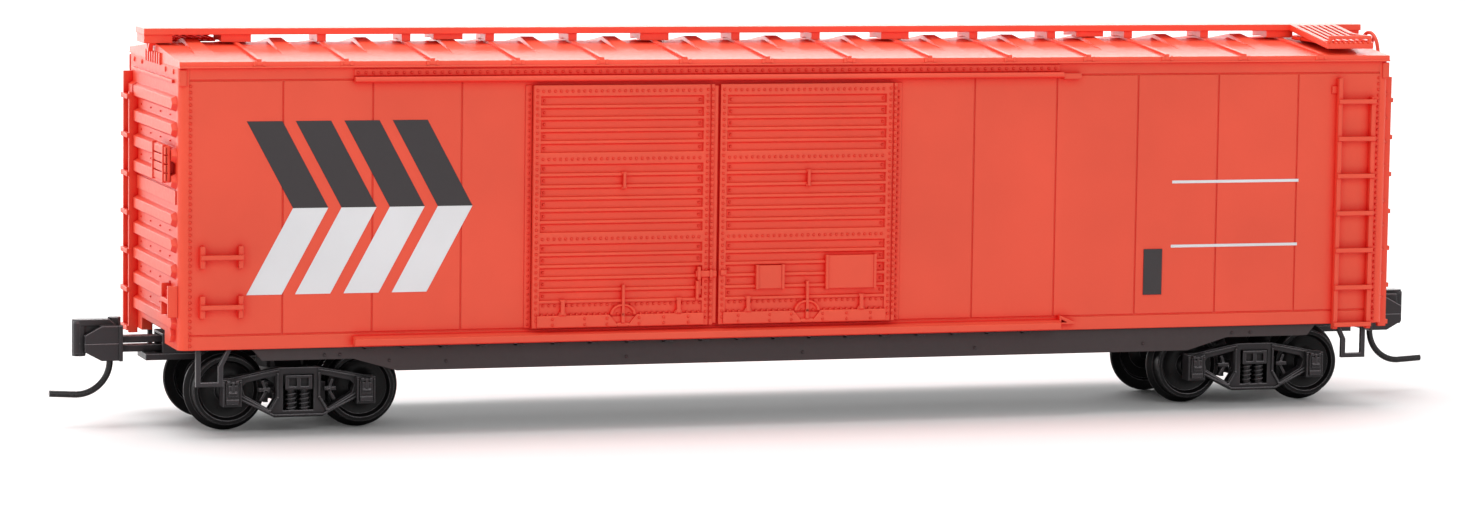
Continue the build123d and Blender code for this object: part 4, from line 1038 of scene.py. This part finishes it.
# %% Brake wheel
WHEEL_RIM = 0.15
SPOKE_COUNT = 6
HUB = [(0, 0.2), (0, 0.32), (0.42, 0.32), (0.46, 0.5), (0.66, 0.5), (0.72, 0.3), (0.76, 0.2)]
wheel_low, wheel_high = low_of("brake_wheel"), high_of("brake_wheel")
ring_radius = (wheel_high.z - wheel_low.z) / 2 - WHEEL_RIM
wheel_middle = (wheel_low + wheel_high) / 2
wheel_middle.x = wheel_high.x - WHEEL_RIM
pick()
bpy.ops.mesh.primitive_torus_add(major_segments=44, minor_segments=12, major_radius=ring_radius * MM,
                                 minor_radius=WHEEL_RIM * MM, rotation=(0, math.pi / 2, 0),
                                 location=wheel_middle * MM)
parts = [settle(named("wheel_ring"))]
bpy.ops.object.shade_smooth_by_angle(angle=math.radians(60))
parts.append(turn("hub", HUB, 20, (wheel_low.x, wheel_middle.y, wheel_middle.z), "+X"))
for spoke in range(SPOKE_COUNT):
    piece = bar("spoke", (-0.1, -0.11, 0.3), (0.1, 0.11, ring_radius))
    piece.data.transform(Matrix.Rotation(math.tau * (spoke + 0.5) / SPOKE_COUNT, 4, "X"))
    piece.data.transform(Matrix.Translation(wheel_middle * MM))
    parts.append(piece)
fit(joined("hand_wheel", parts), "car", "red_body", replaced=("brake_wheel",))
print("brake wheel spokes:", SPOKE_COUNT)

# %% [markdown]
# ## Ends
#
# The gable has four bolt heads, and short rows of rivets lie between the pressed ribs. The board on which papers
# are tacked is made of four planks with two battens over them.

# %% Bolts, rivets and planks on the ends
END_FACE = -50.0
RIB_GAPS = (22.66, 20.69, 24.63, 15.82, 13.85, 11.88, 9.91)
BOARD_FACE = -50.72
BOARD_MIDDLE, BOARD_HALF = -5.9, 2.55
BOARD_FOOT = 19.68
PLANK_PITCH = 0.68
rows = [((END_FACE, place, 27.98), SINGLE, 1) for place in (-7.65, -4.6, 4.6, 7.65)]
bolts = rivet_rows("gable_bolts", "-X", rows, radius=0.21, sides=10)
rows = [((END_FACE, -6.5, height), (0, 3.75, 0), 4) for height in RIB_GAPS]
seams = rivet_rows("end_rivets", "-X", rows, radius=0.08)
plank = bar("plank", (BOARD_FACE - 0.1, BOARD_MIDDLE - BOARD_HALF, BOARD_FOOT),
            (BOARD_FACE + 0.1, BOARD_MIDDLE + BOARD_HALF, BOARD_FOOT + 0.6))
fittings = [bolts, seams, repeated(plank, (0, 0, PLANK_PITCH), 4)]
for across in (BOARD_MIDDLE - 1.9, BOARD_MIDDLE + 2.0):
    fittings.append(bar("batten", (BOARD_FACE - 0.2, across - 0.16, BOARD_FOOT - 0.12),
                        (BOARD_FACE + 0.1, across + 0.16, BOARD_FOOT + 2.8)))
end_rivets = joined("end_rivets", fittings)
twin = turned(end_rivets, "end_rivets_b")
fit(named_as(end_rivets, "end_rivets_a"), "car", "red_body")
fit(twin, "car", "red_body")
print("ends riveted: 2")
